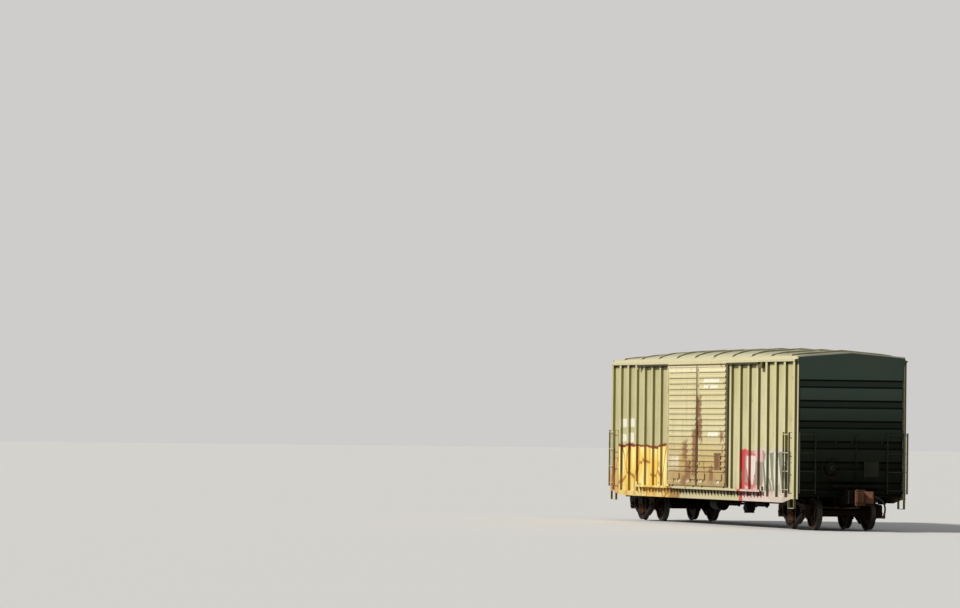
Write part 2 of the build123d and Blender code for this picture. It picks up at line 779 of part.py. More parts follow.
def brake_wheel():
    """A dished hand wheel with five spokes on the housing's shaft."""
    shaft = bar_x(brake_wheel_y, brake_wheel_z, end_rib_x + 120, brake_wheel_x + 20, 44)
    hub = bar_x(brake_wheel_y, brake_wheel_z, brake_wheel_x - 30, brake_wheel_x + 24, 90)
    rim = Pos(brake_wheel_x - 40, brake_wheel_y, brake_wheel_z) * Rot(0, 90, 0) * Torus(270, 14)
    wheel = shaft + hub + rim
    spokes = 5
    for i in range(spokes):
        angle = math.radians(90 + i * 360 / spokes)
        across = math.cos(angle)
        up = math.sin(angle)
        tip = (brake_wheel_x - 40, brake_wheel_y + 268 * across, brake_wheel_z + 268 * up)
        root = (brake_wheel_x, brake_wheel_y + 20 * across, brake_wheel_z + 20 * up)
        run = Vector(*tip) - Vector(*root)
        spoke = extrude(Plane(origin=root, z_dir=run.normalized()) * Circle(11), run.length)
        wheel += spoke
    return [wheel]


# Doors

def door_leaf():
    """A leaf of the pair, on the +Y side and the B half: ribbed panels in a frame, on rollers."""
    x0 = leaf_gap / 2
    x1 = leaf_end
    panel_y = leaf_y + door_panel_thickness
    points = [(leaf_y, door_bottom), (leaf_y, door_top), (leaf_face_y, door_top)]
    points += [(leaf_face_y, door_top - 70), (panel_y, door_top - 90)]
    slope = 14
    for lowest, count in door_panels:
        for i in range(count):
            low = floor_top + lowest - i * door_rib_pitch
            high = low + door_rib_height
            points += [(panel_y, high + slope), (leaf_face_y, high)]
            points += [(leaf_face_y, low + slope), (panel_y, low)]
    points += [(panel_y, door_bottom + 110), (leaf_face_y, door_bottom + 90), (leaf_face_y, door_bottom)]
    leaf = along_x(points, x0, x1)
    frame = 55
    for x in (x0, x1 - frame):
        leaf += block(x, x + frame, leaf_y, leaf_face_y, door_bottom, door_top)
    for x in (x0 + 60, x1 - 1050):
        leaf += block(x, x + 620, leaf_y, leaf_face_y, door_bottom + 165, door_bottom + 330)
    roller = 70
    for x in (x0 + 370, x1 - 370):
        wheel = bar_y(x, track_top + running_gap + roller / 2, leaf_y + 4, leaf_face_y - 6, roller)
        leaf += wheel
    leaf += bar_z(x0 + 40, leaf_face_y - 2, door_bottom + 60, door_top - 60, 20)
    return leaf


# Trucks

def in_truck(shapes, x):
    """Shapes drawn about a truck's centre, moved to it."""
    return [Pos(x, 0, 0) * shape for shape in shapes]


frame_thickness = 150
adapter_height = 35
adapter_half = 100
jaw_clearance = 8


def side_frame():
    """A cast side frame: an arched top, a dropped bottom, pedestal jaws and three windows."""
    axle = wheelbase / 2
    jaw_top = axle_height + bearing_diameter / 2 + adapter_height
    jaw = bearing_diameter / 2 + jaw_clearance
    leg = 62
    top = side_frame_top
    nose = axle + jaw + leg
    half = [(0, top), (330, top), (axle - 110, jaw_top + 105), (axle + 130, jaw_top + 95)]
    half += [(nose, jaw_top + 50), (nose, axle_height - 115), (axle + jaw, axle_height - 115)]
    half += [(axle + jaw, jaw_top)]
    half += [(axle - jaw, jaw_top), (axle - jaw, axle_height - 95), (axle - jaw - leg, axle_height - 95)]
    half += [(300, rail + 130), (0, rail + 130)]
    left = [(-x, z) for x, z in reversed(half)]
    face_y = journal_spacing / 2
    y0 = face_y - frame_thickness / 2
    y1 = face_y + frame_thickness / 2
    frame = along_y(half + left[1:-1], y0, y1)
    frame -= block(-window_half, window_half, y0, y1, spring_seat, window_top)
    inner = axle - jaw - leg - 40
    opening = [(window_half + 100, rail + 235), (window_half + 100, window_top - 5)]
    opening += [(inner, jaw_top + 25), (inner, axle_height - 5)]
    for points in (opening, [(-x, z) for x, z in opening]):
        hole = along_y(points, y0, y1)
        frame -= fillet(hole.edges().filter_by(Axis.Y), 30)
    ledge = block(-window_half, window_half, y0 - 60, y1 + 60, spring_seat - 40, spring_seat)
    return frame + ledge


window_half = 235
window_top = rail + 655
side_frame_top = rail + 740
spring_seat = rail + 215
bolster_end_bottom = rail + 445
bolster_top = rail + 640


def truck_bolster():
    """The cross beam that carries the body: a bowl at its middle and side bearings near its ends."""
    reach = journal_spacing / 2 + 140
    points = [(-reach, bolster_end_bottom), (-reach + 280, bolster_end_bottom), (-500, rail + 370)]
    points += [(500, rail + 370), (reach - 280, bolster_end_bottom), (reach, bolster_end_bottom)]
    points += [(reach, bolster_top), (-reach, bolster_top)]
    beam = along_x(points, -195, 195)
    bowl_floor = plate_z - running_gap
    rim = bar_z(0, 0, bolster_top - 5, plate_z + 26, centre_plate_diameter + 110)
    rim -= bar_z(0, 0, bowl_floor, plate_z + 26, centre_plate_diameter + 2 * moving_gap)
    beam += rim
    for y in (-side_bearing_offset, side_bearing_offset):
        beam += block(-130, 130, y - 60, y + 60, bolster_top, side_bearing_top)
    return [beam]


def spring_nests():
    """Springs between the side frames' seats and the bolster's ends, drawn as plain columns."""
    springs = []
    for x in (-130, 0, 130):
        for dy in (-70, 70):
            y = journal_spacing / 2 + dy
            springs.append(bar_z(x, y, spring_seat, bolster_end_bottom, 120))
    return both_sides(springs)


def bearing_adapters():
    """Saddles between the pedestals and the round bearings."""
    saddles = []
    y0 = journal_spacing / 2 - 80
    for x in (-wheelbase / 2, wheelbase / 2):
        top = axle_height + bearing_diameter / 2 + adapter_height
        saddle = block(x - adapter_half, x + adapter_half, y0, y0 + 160, axle_height + 40, top)
        saddle -= bar_y(x, axle_height, y0, y0 + 160, bearing_diameter + 2 * running_gap)
        saddles.append(saddle)
    return both_sides(saddles)


def brake_beams():
    """A beam with a shoe at each end for either axle, hung inside the truck's side frames."""
    beams = []
    shoe_reach = wheel_diameter / 2 + moving_gap
    tread_y = wheel_back_to_back / 2 + 85
    inner_y = journal_spacing / 2 - frame_thickness / 2
    z = axle_height - 30
    for side in (-1, 1):
        axle = side * wheelbase / 2
        face = axle - side * (shoe_reach + 2)
        back = face - side * 75
        low_x, high_x = sorted((back, back - side * 70))
        beam = block(low_x, high_x, -inner_y, inner_y, z - 45, z + 45)
        for y in (-tread_y, tread_y):
            beam += shoe_block(axle, side, y, z, shoe_reach)
        beams.append(beam)
    return beams


def shoe_block(axle, side, y, z, reach):
    """A brake shoe: a block behind a wheel's tread, hollowed to its curve with a running gap."""
    back = axle - side * (reach + 78)
    front = axle - side * (reach - 60)
    shoe = block(min(back, front), max(back, front), y - 42, y + 42, z - 130, z + 150)
    return shoe - bar_y(axle, axle_height, y - 42, y + 42, 2 * reach)


def wheel_profile():
    """Half section of a wheel on the +Y side, as (radius, y) points."""
    back = wheel_back_to_back / 2
    tread = wheel_diameter / 2
    tip = tread + flange_height
    seat = wheel_seat_diameter / 2
    points = [(seat, back - 22), (seat + 42, back - 22), (seat + 48, back + 25), (tread - 75, back + 62)]
    points += [(tread - 58, back + 45), (tread - 58, back), (tip - 12, back), (tip, back + 10)]
    points += [(tip - 3, back + 20)]
    points += [(tread + 3, back + 34), (tread, back + 44), (tread - 4, back + wheel_width)]
    points += [(tread - 58, back + wheel_width), (tread - 62, back + 100), (tread - 90, back + 88)]
    points += [(seat + 58, back + 62), (seat + 44, back + 156), (seat, back + 156)]
    return points


def wheel_pair():
    """The two wheels of an axle."""
    wheel = revolve(make_face(Polyline(*wheel_profile(), close=True)), axis=Axis.Y)
    return both_sides([wheel])


def axle_shape():
    """An axle with its wheel seats, bearings and end caps."""
    back = wheel_back_to_back / 2
    seat = wheel_seat_diameter / 2
    bearing = bearing_diameter / 2
    b0 = journal_spacing / 2 - bearing_width / 2
    b1 = journal_spacing / 2 + bearing_width / 2
    half = [(0, 0), (axle_diameter / 2, 0), (axle_diameter / 2, back - 70), (seat, back - 40)]
    half += [(seat, back + 165), (seat - 12, back + 180), (seat - 12, b0 - 20), (bearing - 12, b0 - 20)]
    half += [(bearing - 12, b0), (bearing, b0), (bearing, b1), (bearing - 20, b1), (bearing - 20, b1 + 25)]
    half += [(0, b1 + 25)]
    profile = make_face(Polyline(*half, close=True))
    right = revolve(profile, axis=Axis.Y)
    return right + mirror(right, about=Plane.XZ)


def named_solids():
    """Every node's name with the list of its solids."""
    wall = wall_half()
    leaf = door_leaf()
    end = end_wall()
    lever = uncoupling_lever()
    coupler = coupler_body()
    knuckle = coupler_knuckle()
    coupling = hose_coupling()
    hose = air_hose()
    nodes = {
        "floor": floor_boards(),
        "centre_sill": centre_sill(),
        "body_bolsters": body_bolsters(),
        "crossbearers": crossbearers(),
        "floor_stringers": floor_stringers(),
        "end_beams": end_beams(),
        "side_sills": side_sills(),
        "wall_left_a": turned([wall]),
        "wall_left_b": [mirror(wall, about=Plane.XZ)],
        "wall_right_a": [mirror(wall, about=Plane.YZ)],
        "wall_right_b": [wall],
        "end_wall_a": turned([end]),
        "end_wall_b": [end],
        "corner_posts": corner_posts(),
        "door_frames": door_frames(),
        "side_plates": side_plates(),
        "roof": roof(),
        "roof_seam_caps": roof_seam_caps(),
        "upper_door_tracks": upper_door_tracks(),
        "lower_door_tracks": lower_door_tracks(),
        "side_ladders": side_ladders(),
        "end_ladders": end_ladders(),
        "sill_steps": sill_steps(),
        "crossover_platforms": crossover_platforms(),
        "couplers": coupler + turned(coupler),
        "coupler_knuckles": knuckle + turned(knuckle),
        "uncoupling_levers": lever + turned(lever),
        "brake_pipe": brake_pipe(),
        "air_hose_b": hose,
        "air_hose_a": turned(hose),
        "hose_couplings": coupling + turned(coupling),
        "brake_cylinder": brake_cylinder(),
        "air_reservoir": air_reservoir(),
        "control_valve": control_valve(),
        "brake_rods": brake_rods(),
        "hand_brake": hand_brake(),
        "brake_wheel": brake_wheel(),
        "door_left_a": turned([leaf]),
        "door_left_b": [mirror(leaf, about=Plane.XZ)],
        "door_right_a": [mirror(leaf, about=Plane.YZ)],
        "door_right_b": [leaf],
    }
    for end_name, x in (("a", -truck_x), ("b", truck_x)):
        nodes["side_frames_" + end_name] = in_truck(both_sides([side_frame()]), x)
        nodes["truck_bolster_" + end_name] = in_truck(truck_bolster(), x)
        nodes["spring_nests_" + end_name] = in_truck(spring_nests(), x)
        nodes["bearing_adapters_" + end_name] = in_truck(bearing_adapters(), x)
        nodes["brake_beams_" + end_name] = in_truck(brake_beams(), x)
        for number, side in ((1, -1), (2, 1)):
            place = Pos(x + side * wheelbase / 2, 0, axle_height)
            nodes[f"wheels_{end_name}{number}"] = [place * shape for shape in wheel_pair()]
            nodes[f"axle_{end_name}{number}"] = [place * axle_shape()]
    return nodes


os.makedirs("parts", exist_ok=True)
for name, solids in named_solids().items():
    export_step(Compound(children=list(solids)), f"parts/{name}.step")
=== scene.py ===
"""A fifty foot railroad boxcar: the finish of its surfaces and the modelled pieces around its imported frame."""
import math

import bmesh
import bpy
import numpy as np
from mathutils import Matrix, Vector


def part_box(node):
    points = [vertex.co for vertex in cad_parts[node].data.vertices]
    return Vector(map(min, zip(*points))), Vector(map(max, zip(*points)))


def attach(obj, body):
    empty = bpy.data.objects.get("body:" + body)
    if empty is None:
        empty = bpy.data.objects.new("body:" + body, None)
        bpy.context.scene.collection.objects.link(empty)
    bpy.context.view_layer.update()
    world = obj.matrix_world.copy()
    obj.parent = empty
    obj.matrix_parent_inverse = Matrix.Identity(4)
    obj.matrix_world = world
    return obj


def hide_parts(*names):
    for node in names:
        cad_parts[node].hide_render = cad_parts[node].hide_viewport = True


bl_info = {
    "name": "Weathered boxcar",
    "version": (1, 0, 0),
    "blender": (4, 5, 0),
    "location": "View3D > Sidebar > Boxcar",
    "description": "Models and paints the pieces of a railroad boxcar around its frame",
    "category": "Object",
}

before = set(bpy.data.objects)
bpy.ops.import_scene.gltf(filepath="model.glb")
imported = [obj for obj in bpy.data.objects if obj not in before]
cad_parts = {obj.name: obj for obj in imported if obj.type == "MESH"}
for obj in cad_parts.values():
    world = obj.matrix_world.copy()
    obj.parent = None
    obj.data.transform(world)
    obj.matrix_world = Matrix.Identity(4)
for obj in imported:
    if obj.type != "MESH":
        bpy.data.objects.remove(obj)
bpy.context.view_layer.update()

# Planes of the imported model, in metres. X runs to the brake end, Y across, Z up.
FLOOR_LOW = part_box("floor")[0].z
LINING_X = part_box("end_wall_b")[0].x
RIB_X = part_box("end_wall_b")[1].x
END_X = RIB_X - 0.050
HALF_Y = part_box("floor")[1].y
SHEET_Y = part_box("roof")[1].y
POST_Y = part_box("door_frames")[1].y
TRACK_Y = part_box("upper_door_tracks")[1].y
ROOF_THICKNESS = 0.035
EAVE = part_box("roof")[0].z + ROOF_THICKNESS
RIDGE_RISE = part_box("roof")[1].z - EAVE
END_RIDGE_RISE = 0.125
KNEE_RISE, END_KNEE_RISE = 0.165, 0.040
KNEE_Y = SHEET_Y - 0.420
ROOF_LEVEL = 3.2
FIRST_SEAM = -END_X + 0.730
SEAM_PITCH = -2 * FIRST_SEAM / 9
PLATE_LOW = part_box("side_plates")[0].z
SILL_LOW, SILL_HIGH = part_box("side_sills")[0].z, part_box("side_sills")[1].z
RAIL = 0.025
TRUCK_X = 6.3
AXLE_REACH = 0.8635
AXLE_Z = 0.444
JOURNAL_Y = 1.003
ENDS = {"a": -1, "b": 1}
SIDES = {"left": -1, "right": 1}
AXLES = {"1": -1, "2": 1}


def axle_x(end, number):
    """X of one of the four axles."""
    return ENDS[end] * TRUCK_X + AXLES[number] * AXLE_REACH


def srgb(red, green, blue):
    """A colour from 0 to 255 a channel, as the linear values that shaders use."""
    parts = [c / 255 for c in (red, green, blue)]
    return tuple(c / 12.92 if c <= 0.04045 else ((c + 0.055) / 1.055) ** 2.4 for c in parts)


# Shader maths

class Shade:
    """A socket's value in a material. Arithmetic on it adds Math nodes."""

    def __init__(self, finish, socket):
        self.finish = finish
        self.socket = socket

    def maths(self, operation, *values):
        return self.finish.node("ShaderNodeMath", {"operation": operation}, dict(enumerate(values)))

    def __add__(self, other):
        return self.maths("ADD", self, other)

    __radd__ = __add__

    def __sub__(self, other):
        return self.maths("SUBTRACT", self, other)

    def __rsub__(self, other):
        return self.maths("SUBTRACT", other, self)

    def __mul__(self, other):
        return self.maths("MULTIPLY", self, other)

    __rmul__ = __mul__

    def __truediv__(self, other):
        return self.maths("DIVIDE", self, other)

    def __mod__(self, other):
        return self.maths("FLOORED_MODULO", self, other)

    def __abs__(self):
        return self.maths("ABSOLUTE", self)

    def root(self):
        return self.maths("SQRT", self)

    def most(self, other):
        return self.maths("MAXIMUM", self, other)

    def step(self, low, high):
        """A smooth step from 0 at low to 1 at high, either way round."""
        span = (low, high, 0.0, 1.0) if low < high else (high, low, 1.0, 0.0)
        settings = {"interpolation_type": "SMOOTHSTEP"}
        return self.finish.node("ShaderNodeMapRange", settings, dict(enumerate((self, *span))))

    def between(self, low, low_full, high_full, high):
        """1 from low_full to high_full, which falls smoothly to 0 at low and at high."""
        return self.step(low, low_full) * self.step(high, high_full)


class Finish:
    """A new material: its shader, its object coordinates, the colour so far, and one method that adds any
    other node."""

    def __init__(self, name, **constants):
        self.colour = None
        self.material = bpy.data.materials.new(name)
        self.material.use_nodes = True
        self.tree = self.material.node_tree
        self.shader = self.tree.nodes["Principled BSDF"]
        for socket, value in constants.items():
            self.shader.inputs[socket.replace("_", " ")].default_value = value
        self.place = self.node("ShaderNodeTexCoord", output="Object")
        self.x, self.y, self.z = (self.node("ShaderNodeSeparateXYZ", None, {0: self.place}, axis) for axis in "XYZ")

    def node(self, kind, settings=None, inputs=None, output=0):
        made = self.tree.nodes.new(kind)
        for key, value in (settings or {}).items():
            setattr(made, key, value)
        for key, value in (inputs or {}).items():
            if isinstance(value, Shade):
                self.tree.links.new(value.socket, made.inputs[key])
            else:
                made.inputs[key].default_value = value
        return Shade(self, made.outputs[output])

    def noise(self, scale, detail, roughness=0.55):
        """Noise from 0 to 1 with its own scale along each axis, in cycles a metre."""
        scaled = self.node("ShaderNodeVectorMath", {"operation": "MULTIPLY"}, {0: self.place, 1: scale})
        inputs = {"Vector": scaled, "Scale": 1.0, "Detail": detail, "Roughness": roughness}
        return self.node("ShaderNodeTexNoise", None, inputs)

    def cells(self, place, feature, output):
        """Rounded cells on a flat place: a cell's colour, or the distance to its centre or its edge."""
        settings = {"feature": feature, "voronoi_dimensions": "2D"}
        return self.node("ShaderNodeTexVoronoi", settings, {"Vector": place, "Scale": 1.0}, output)

    def flat_place(self, across, up):
        return self.node("ShaderNodeCombineXYZ", None, {0: across, 1: up})

    def mix(self, first, second, share):
        """The first colour, turned to the second by a share from 0 to 1."""
        first, second = (c if isinstance(c, Shade) else (*c, 1.0) for c in (first, second))
        return self.node("ShaderNodeMix", {"data_type": "RGBA"}, {0: share, 6: first, 7: second}, 2)

    def cover(self, colour, share):
        """Lays a colour over the colour so far, by a share from 0 to 1."""
        self.colour = self.mix(self.colour, colour, share)

    def normal(self, axis):
        """One part of the surface's direction."""
        facing = self.node("ShaderNodeNewGeometry", output="Normal")
        return self.node("ShaderNodeSeparateXYZ", None, {0: facing}, axis)

    def inside(self, x0, x1, z0, z1, wobble, soft=0.03):
        """1 inside a rectangle of a side, with an edge that is soft and as uneven as the wobble."""
        across = abs(self.x - (x0 + x1) / 2) - (x1 - x0) / 2
        up = abs(self.z - (z0 + z1) / 2) - (z1 - z0) / 2
        return (across.most(up) + wobble).step(soft, -soft)

    def inside_any(self, outlines, wobble, soft=0.03):
        """1 inside any of several rectangles of a side."""
        found = self.inside(*outlines[0], wobble, soft)
        for outline in outlines[1:]:
            found = found.most(self.inside(*outline, wobble, soft))
        return found

    def give(self, roughness=None, metallic=None, height=None, depth=0.01):
        """Links the colour and what else varies to the shader, and returns the material."""
        for socket, value in (("Base Color", self.colour), ("Roughness", roughness), ("Metallic", metallic)):
            if isinstance(value, Shade):
                self.tree.links.new(value.socket, self.shader.inputs[socket])
        if height is not None:
            bump = self.node("ShaderNodeBump", None, {"Strength": 0.6, "Distance": depth, "Height": height})
            self.tree.links.new(bump.socket, self.shader.inputs["Normal"])
        return self.material


# Colours that several finishes share
RUST = srgb(128, 68, 38)
DARK_RUST = srgb(74, 42, 28)
GRIME = srgb(92, 84, 52)
DUST = srgb(150, 130, 98)
CHALK = srgb(250, 247, 232)
# Painted shade: olive for the sides of posts and the undersides of ribs, brown for gaps beside the leaves
PAINTED_SHADE = srgb(108, 107, 50)
GAP_SHADE = srgb(58, 46, 26)
PLYWOOD = srgb(150, 118, 78)
PLYWOOD_GRAIN = srgb(104, 78, 50)
JOINT = srgb(40, 30, 22)

# Outlines on the sides, in metres: from x to x and from z to z
WALL_CHALK = ((-6.92, -6.52, 2.66, 2.90), (-6.18, -5.80, 2.68, 2.90), (-6.90, -6.50, 2.25, 2.46),
              (-6.20, -5.86, 2.22, 2.50))
SUNNY_FIELD, SUNNY_FOOT = (-8.20, -2.45, 0.60, 2.19), (-3.0, -1.60, 0.60, 0.90)
SUNNY_CORE = (-8.20, -2.53, 0.60, 2.12)
ROSY_FIELD, ROSY_CORE = (3.45, 7.30, 0.55, 2.10), (3.72, 7.90, 0.50, 2.02)
RUSTY_SILL = (-2.40, -1.50, 0.70, 0.98)
LEAF_CHALK = ((0.53, 1.79, 3.91, 4.00), (0.53, 1.71, 3.75, 3.83), (0.91, 1.76, 2.44, 2.55))
FADED_CHALK = (-2.5, -1.55, 1.50, 1.90)
ROLLER_MARKS = tuple((x - 0.12, x + 0.12, 1.16, 1.23) for x in (-1.61, -0.74, 0.28, 1.21, 1.80))
TOP_RUN = (-0.10, 0.32, 2.9, 3.50)
RUST_RUNS = ((-0.16, 0.42, 2.30, 2.95), (-0.46, 0.0, 1.35, 2.60), (-1.24, -0.88, 1.80, 2.26),
             (-1.0, -0.48, 1.20, 1.74), (-1.34, -0.92, 1.06, 1.34), (1.01, 1.36, 1.15, 1.62),
             (1.94, 2.24, 2.32, 2.56))


def weathered(f, wear, dust_top=1.7, dust_low=0.8, spots=0.64):
    """Adds runs of dirt, low dust and rust spots to a paint, and returns its roughness and height."""
    blotches = f.noise((0.6, 0.6, 0.5), 5.0)
    runs = f.noise((9.0, 9.0, 0.5), 5.0, 0.6)
    grain = f.noise((16.0, 16.0, 12.0), 6.0, 0.65)
    rusting = f.noise((3.4, 3.4, 2.6), 9.0, 0.68)
    f.cover(GRIME, runs.step(0.50, 0.78) * (0.30 * wear))
    f.cover(DUST, f.z.step(dust_top, dust_low) * (0.25 + 0.5 * blotches) * (0.5 * wear))
    f.cover(GRIME, grain.step(0.52, 0.80) * (0.22 * wear))
    drips = runs.step(0.56, 0.70) * rusting.step(spots - 0.14, spots)
    rust = rusting.step(spots, spots + 0.05)
    f.cover(RUST, drips * (0.30 * wear))
    f.cover(f.mix(RUST, DARK_RUST, grain.step(0.4, 0.6)), rust)
    return 0.52 + 0.16 * grain + 0.22 * rust, grain * 0.35 - rust * 0.6 + blotches * 0.5


def left_only(f):
    """1 on the outside of the -Y side."""
    return f.y.step(-1.42, -1.46)


def side_along(f, left):
    """X on the -Y side and -X on the other, which is the same side turned half round."""
    return f.x * (left * 2 - 1)


def plywood(f):
    """Scuffed plywood with a level grain."""
    return f.mix(PLYWOOD, PLYWOOD_GRAIN, f.noise((1.2, 1.2, 22.0), 5.0, 0.6).step(0.35, 0.7))


def linings(f):
    """Turns the inside of the walls to plywood boards with level joints."""
    inside = abs(f.y).step(HALF_Y + 0.004, HALF_Y + 0.001) * abs(f.x).step(LINING_X + 0.004, LINING_X + 0.001)
    height = 0.61
    joint = abs(f.z % height - height / 2).step(height / 2 - 0.005, height / 2 - 0.001)
    f.cover(f.mix(plywood(f), JOINT, joint), inside)


def side_paint(colours):
    """Pale green paint of the sides, with chalk patches and two broad fields of sprayed colour."""
    f = Finish("side_paint", Specular_IOR_Level=0.3)
    left = left_only(f)
    wobble = (f.noise((1.1, 1.1, 1.1), 3.0) - 0.5) * 0.35
    f.colour = f.mix(colours.side, colours.faded, f.noise((0.35, 0.35, 0.3), 3.0).step(0.35, 0.65))
    f.cover(srgb(196, 189, 142), f.x.step(-2.0, -3.2) * 0.7)
    sheet = abs(f.y).step(POST_Y - 0.004, POST_Y - 0.02)
    f.cover(GRIME, sheet * f.noise((2.0, 2.0, 0.8), 4.0).step(0.3, 0.8) * 0.24)
    edge = (f.noise((5.0, 5.0, 2.0), 3.0) - 0.5) * 0.10
    f.cover(CHALK, f.inside_any(WALL_CHALK, edge) * left * 0.85)
    sunny = sunny_field(f, wobble) * left
    rosy = f.inside(*ROSY_FIELD, wobble, 0.02) * left
    f.cover(sunny_cells(f, wobble), sunny * 0.96)
    f.cover(rosy_cells(f, wobble), rosy * 0.92)
    f.cover(RUST, f.inside(*RUSTY_SILL, wobble) * left * 0.75)
    roughness, height = weathered(f, 0.9)
    side_shade(f, left, sheet, sunny, rosy)
    linings(f)
    return f.give(roughness, height=height, depth=0.004)


def side_shade(f, left, sheet, sunny, rosy):
    """From the top: the bright fascia, a painted highlight down the corner, a rusty line with painted shadow under
    the upper track, the track dark over the walls, and painted shade on the sides of the posts, under the track,
    beside the leaves, in the recess under the lower track and on the walls' end faces."""
    f.cover(srgb(209, 203, 168), f.z.step(4.425, 4.435) * 0.8)
    # Painted highlight: a lighter strip down each corner
    f.cover(srgb(250, 242, 204), abs(f.x).step(7.785, 7.795) * 0.5)
    rail = f.z.step(4.30, 4.37) * abs(f.y).step(1.57, 1.58)
    # A rusty brown line along the lower edge of the upper track, partly painted shadow
    f.cover(srgb(96, 66, 28), rail * f.z.step(4.412, 4.404) * abs(f.y).step(1.60, 1.61) * 0.95)
    # The upper track dark over the walls: dark rust and painted shade
    f.cover(srgb(44, 38, 18), rail * f.z.step(4.432, 4.424) * abs(f.x).step(2.46, 2.50) * 0.92)
    # Painted shade on the sides of the posts and all that faces along the car: olive, lighter towards the A end,
    # with amber and maroon as shaded copies of the yellow and pink fields
    amber = f.mix(srgb(112, 44, 22), srgb(186, 136, 50), f.x.step(-5.6, -5.1).most(f.z.step(1.50, 1.20)))
    maroon = f.mix(srgb(190, 52, 62), srgb(96, 92, 78), f.x.step(3.9, 5.4))
    flank_shade = f.mix(f.mix(PAINTED_SHADE, srgb(172, 165, 104), f.x.step(6.5, -6.0) * 0.75), amber, sunny * 0.9)
    flank_shade = f.mix(flank_shade, maroon, rosy * 0.85)
    sideways = abs(f.normal("X")).step(0.55, 0.8)
    f.cover(flank_shade, sideways * abs(f.y).step(1.45, 1.47) * abs(f.x).step(7.815, 7.800) * 0.92)
    # Painted shadow on the sheets under the side plate's lip
    f.cover(srgb(56, 52, 26), sheet * f.z.between(4.31, 4.37, 4.425, 4.435) * 0.85)
    # Painted shade in the gap between a leaf's outer edge and the doorpost
    beside_leaf = side_along(f, left).between(2.40, 2.42, 2.56, 2.58)
    f.cover(GAP_SHADE, beside_leaf * f.z.between(1.06, 1.10, 4.30, 4.31) * 0.85)
    # Painted shadow in the recess under the lower track, with shaded copies of the yellow and pink fields
    recess = f.z.between(0.850, 0.862, 0.975, 0.980) * abs(f.x).step(5.28, 5.25) * abs(f.y).step(1.50, 1.52)
    shaded = f.mix(f.mix(srgb(44, 37, 20), srgb(186, 144, 62), sunny), srgb(100, 56, 54), rosy * 0.6)
    f.cover(shaded, recess * 0.93)
    # Painted shade: the walls' faces at the ends take the dark of the shaded ends
    end_face = abs(f.normal("X")).step(0.93, 0.99) * abs(f.x).step(RIB_X - 0.02, RIB_X - 0.005)
    f.cover(srgb(40, 41, 26), end_face)


def sunny_field(f, wobble):
    """1 in the yellow field low on the A half of a side, which widens downwards to the corner."""
    field = f.inside(*SUNNY_FIELD, wobble, 0.015).most(f.inside(*SUNNY_FOOT, wobble, 0.02))
    return field * (f.x + 7.85 - (f.z - 1.2).most(0) * 0.6 + wobble * 0.5).step(-0.02, 0.02)


def sunny_cells(f, wobble):
    """Light yellow rounded cells with thin amber strokes, under a dark red edge."""
    bent = f.flat_place(f.x / 0.62 + wobble * 1.8, f.z / 1.30 + wobble)
    edge = f.cells(bent, "DISTANCE_TO_EDGE", "Distance")
    centre = f.cells(bent, "F1", "Distance")
    shine = f.mix(srgb(252, 214, 96), srgb(255, 243, 158), centre.step(0.55, 0.25))
    shine = f.mix(shine, srgb(236, 168, 84), f.z.step(1.10, 0.75) * 0.30)
    shine = f.mix(shine, srgb(168, 96, 44), edge.step(0.050, 0.018) * 0.85)
    shine = f.mix(shine, srgb(196, 132, 96), f.x.step(-7.0, -7.4) * 0.6)
    core = f.inside(*SUNNY_CORE, wobble, 0.01)
    return f.mix(srgb(132, 40, 28), shine, core.most(f.z.step(1.0, 0.95)))


def rosy_cells(f, wobble):
    """White, pink and grey slanting shapes, crimson at the left edge, low on the B half of a side."""
    bent = f.flat_place((f.x + f.z * 0.5) / 0.95 + wobble, (f.z - f.x * 0.18) / 0.70 + wobble)
    edge = f.cells(bent, "DISTANCE_TO_EDGE", "Distance")
    pick = f.node("ShaderNodeSeparateColor", None, {0: f.cells(bent, "F1", "Color")}, "Red")
    fill = f.mix(srgb(240, 228, 220), srgb(234, 186, 186), pick.step(0.42, 0.46))
    fill = f.mix(fill, srgb(150, 142, 128), pick.step(0.74, 0.78))
    green = f.mix(srgb(222, 224, 196), srgb(124, 126, 104), pick.step(0.26, 0.30))
    fill = f.mix(fill, green, f.x.step(5.0, 5.7) * 0.9)
    slant = abs((f.x + f.z * 0.30 + wobble * 0.7) / 0.68 % 1.0 - 0.5)
    bar = f.mix(srgb(240, 240, 222), srgb(108, 109, 92), slant.step(0.30, 0.25))
    fill = f.mix(fill, bar, slant.step(0.40, 0.37) * f.x.step(5.0, 5.3) * f.z.step(0.98, 1.10) * 0.85)
    line = f.mix(srgb(196, 44, 70), srgb(226, 222, 206), f.x.step(4.2, 5.2))
    fill = f.mix(fill, line, edge.step(0.07, 0.035) * f.x.step(5.1, 4.8) * 0.85)
    fill = f.mix(fill, srgb(248, 224, 220), f.z.step(1.05, 0.95) * (0.9 - 0.3 * f.x.step(5.6, 5.9)))
    outer = f.mix(srgb(206, 40, 62), srgb(214, 204, 190), f.x.step(3.9, 4.8))
    return f.mix(outer, fill, f.inside(*ROSY_CORE, wobble, 0.012))


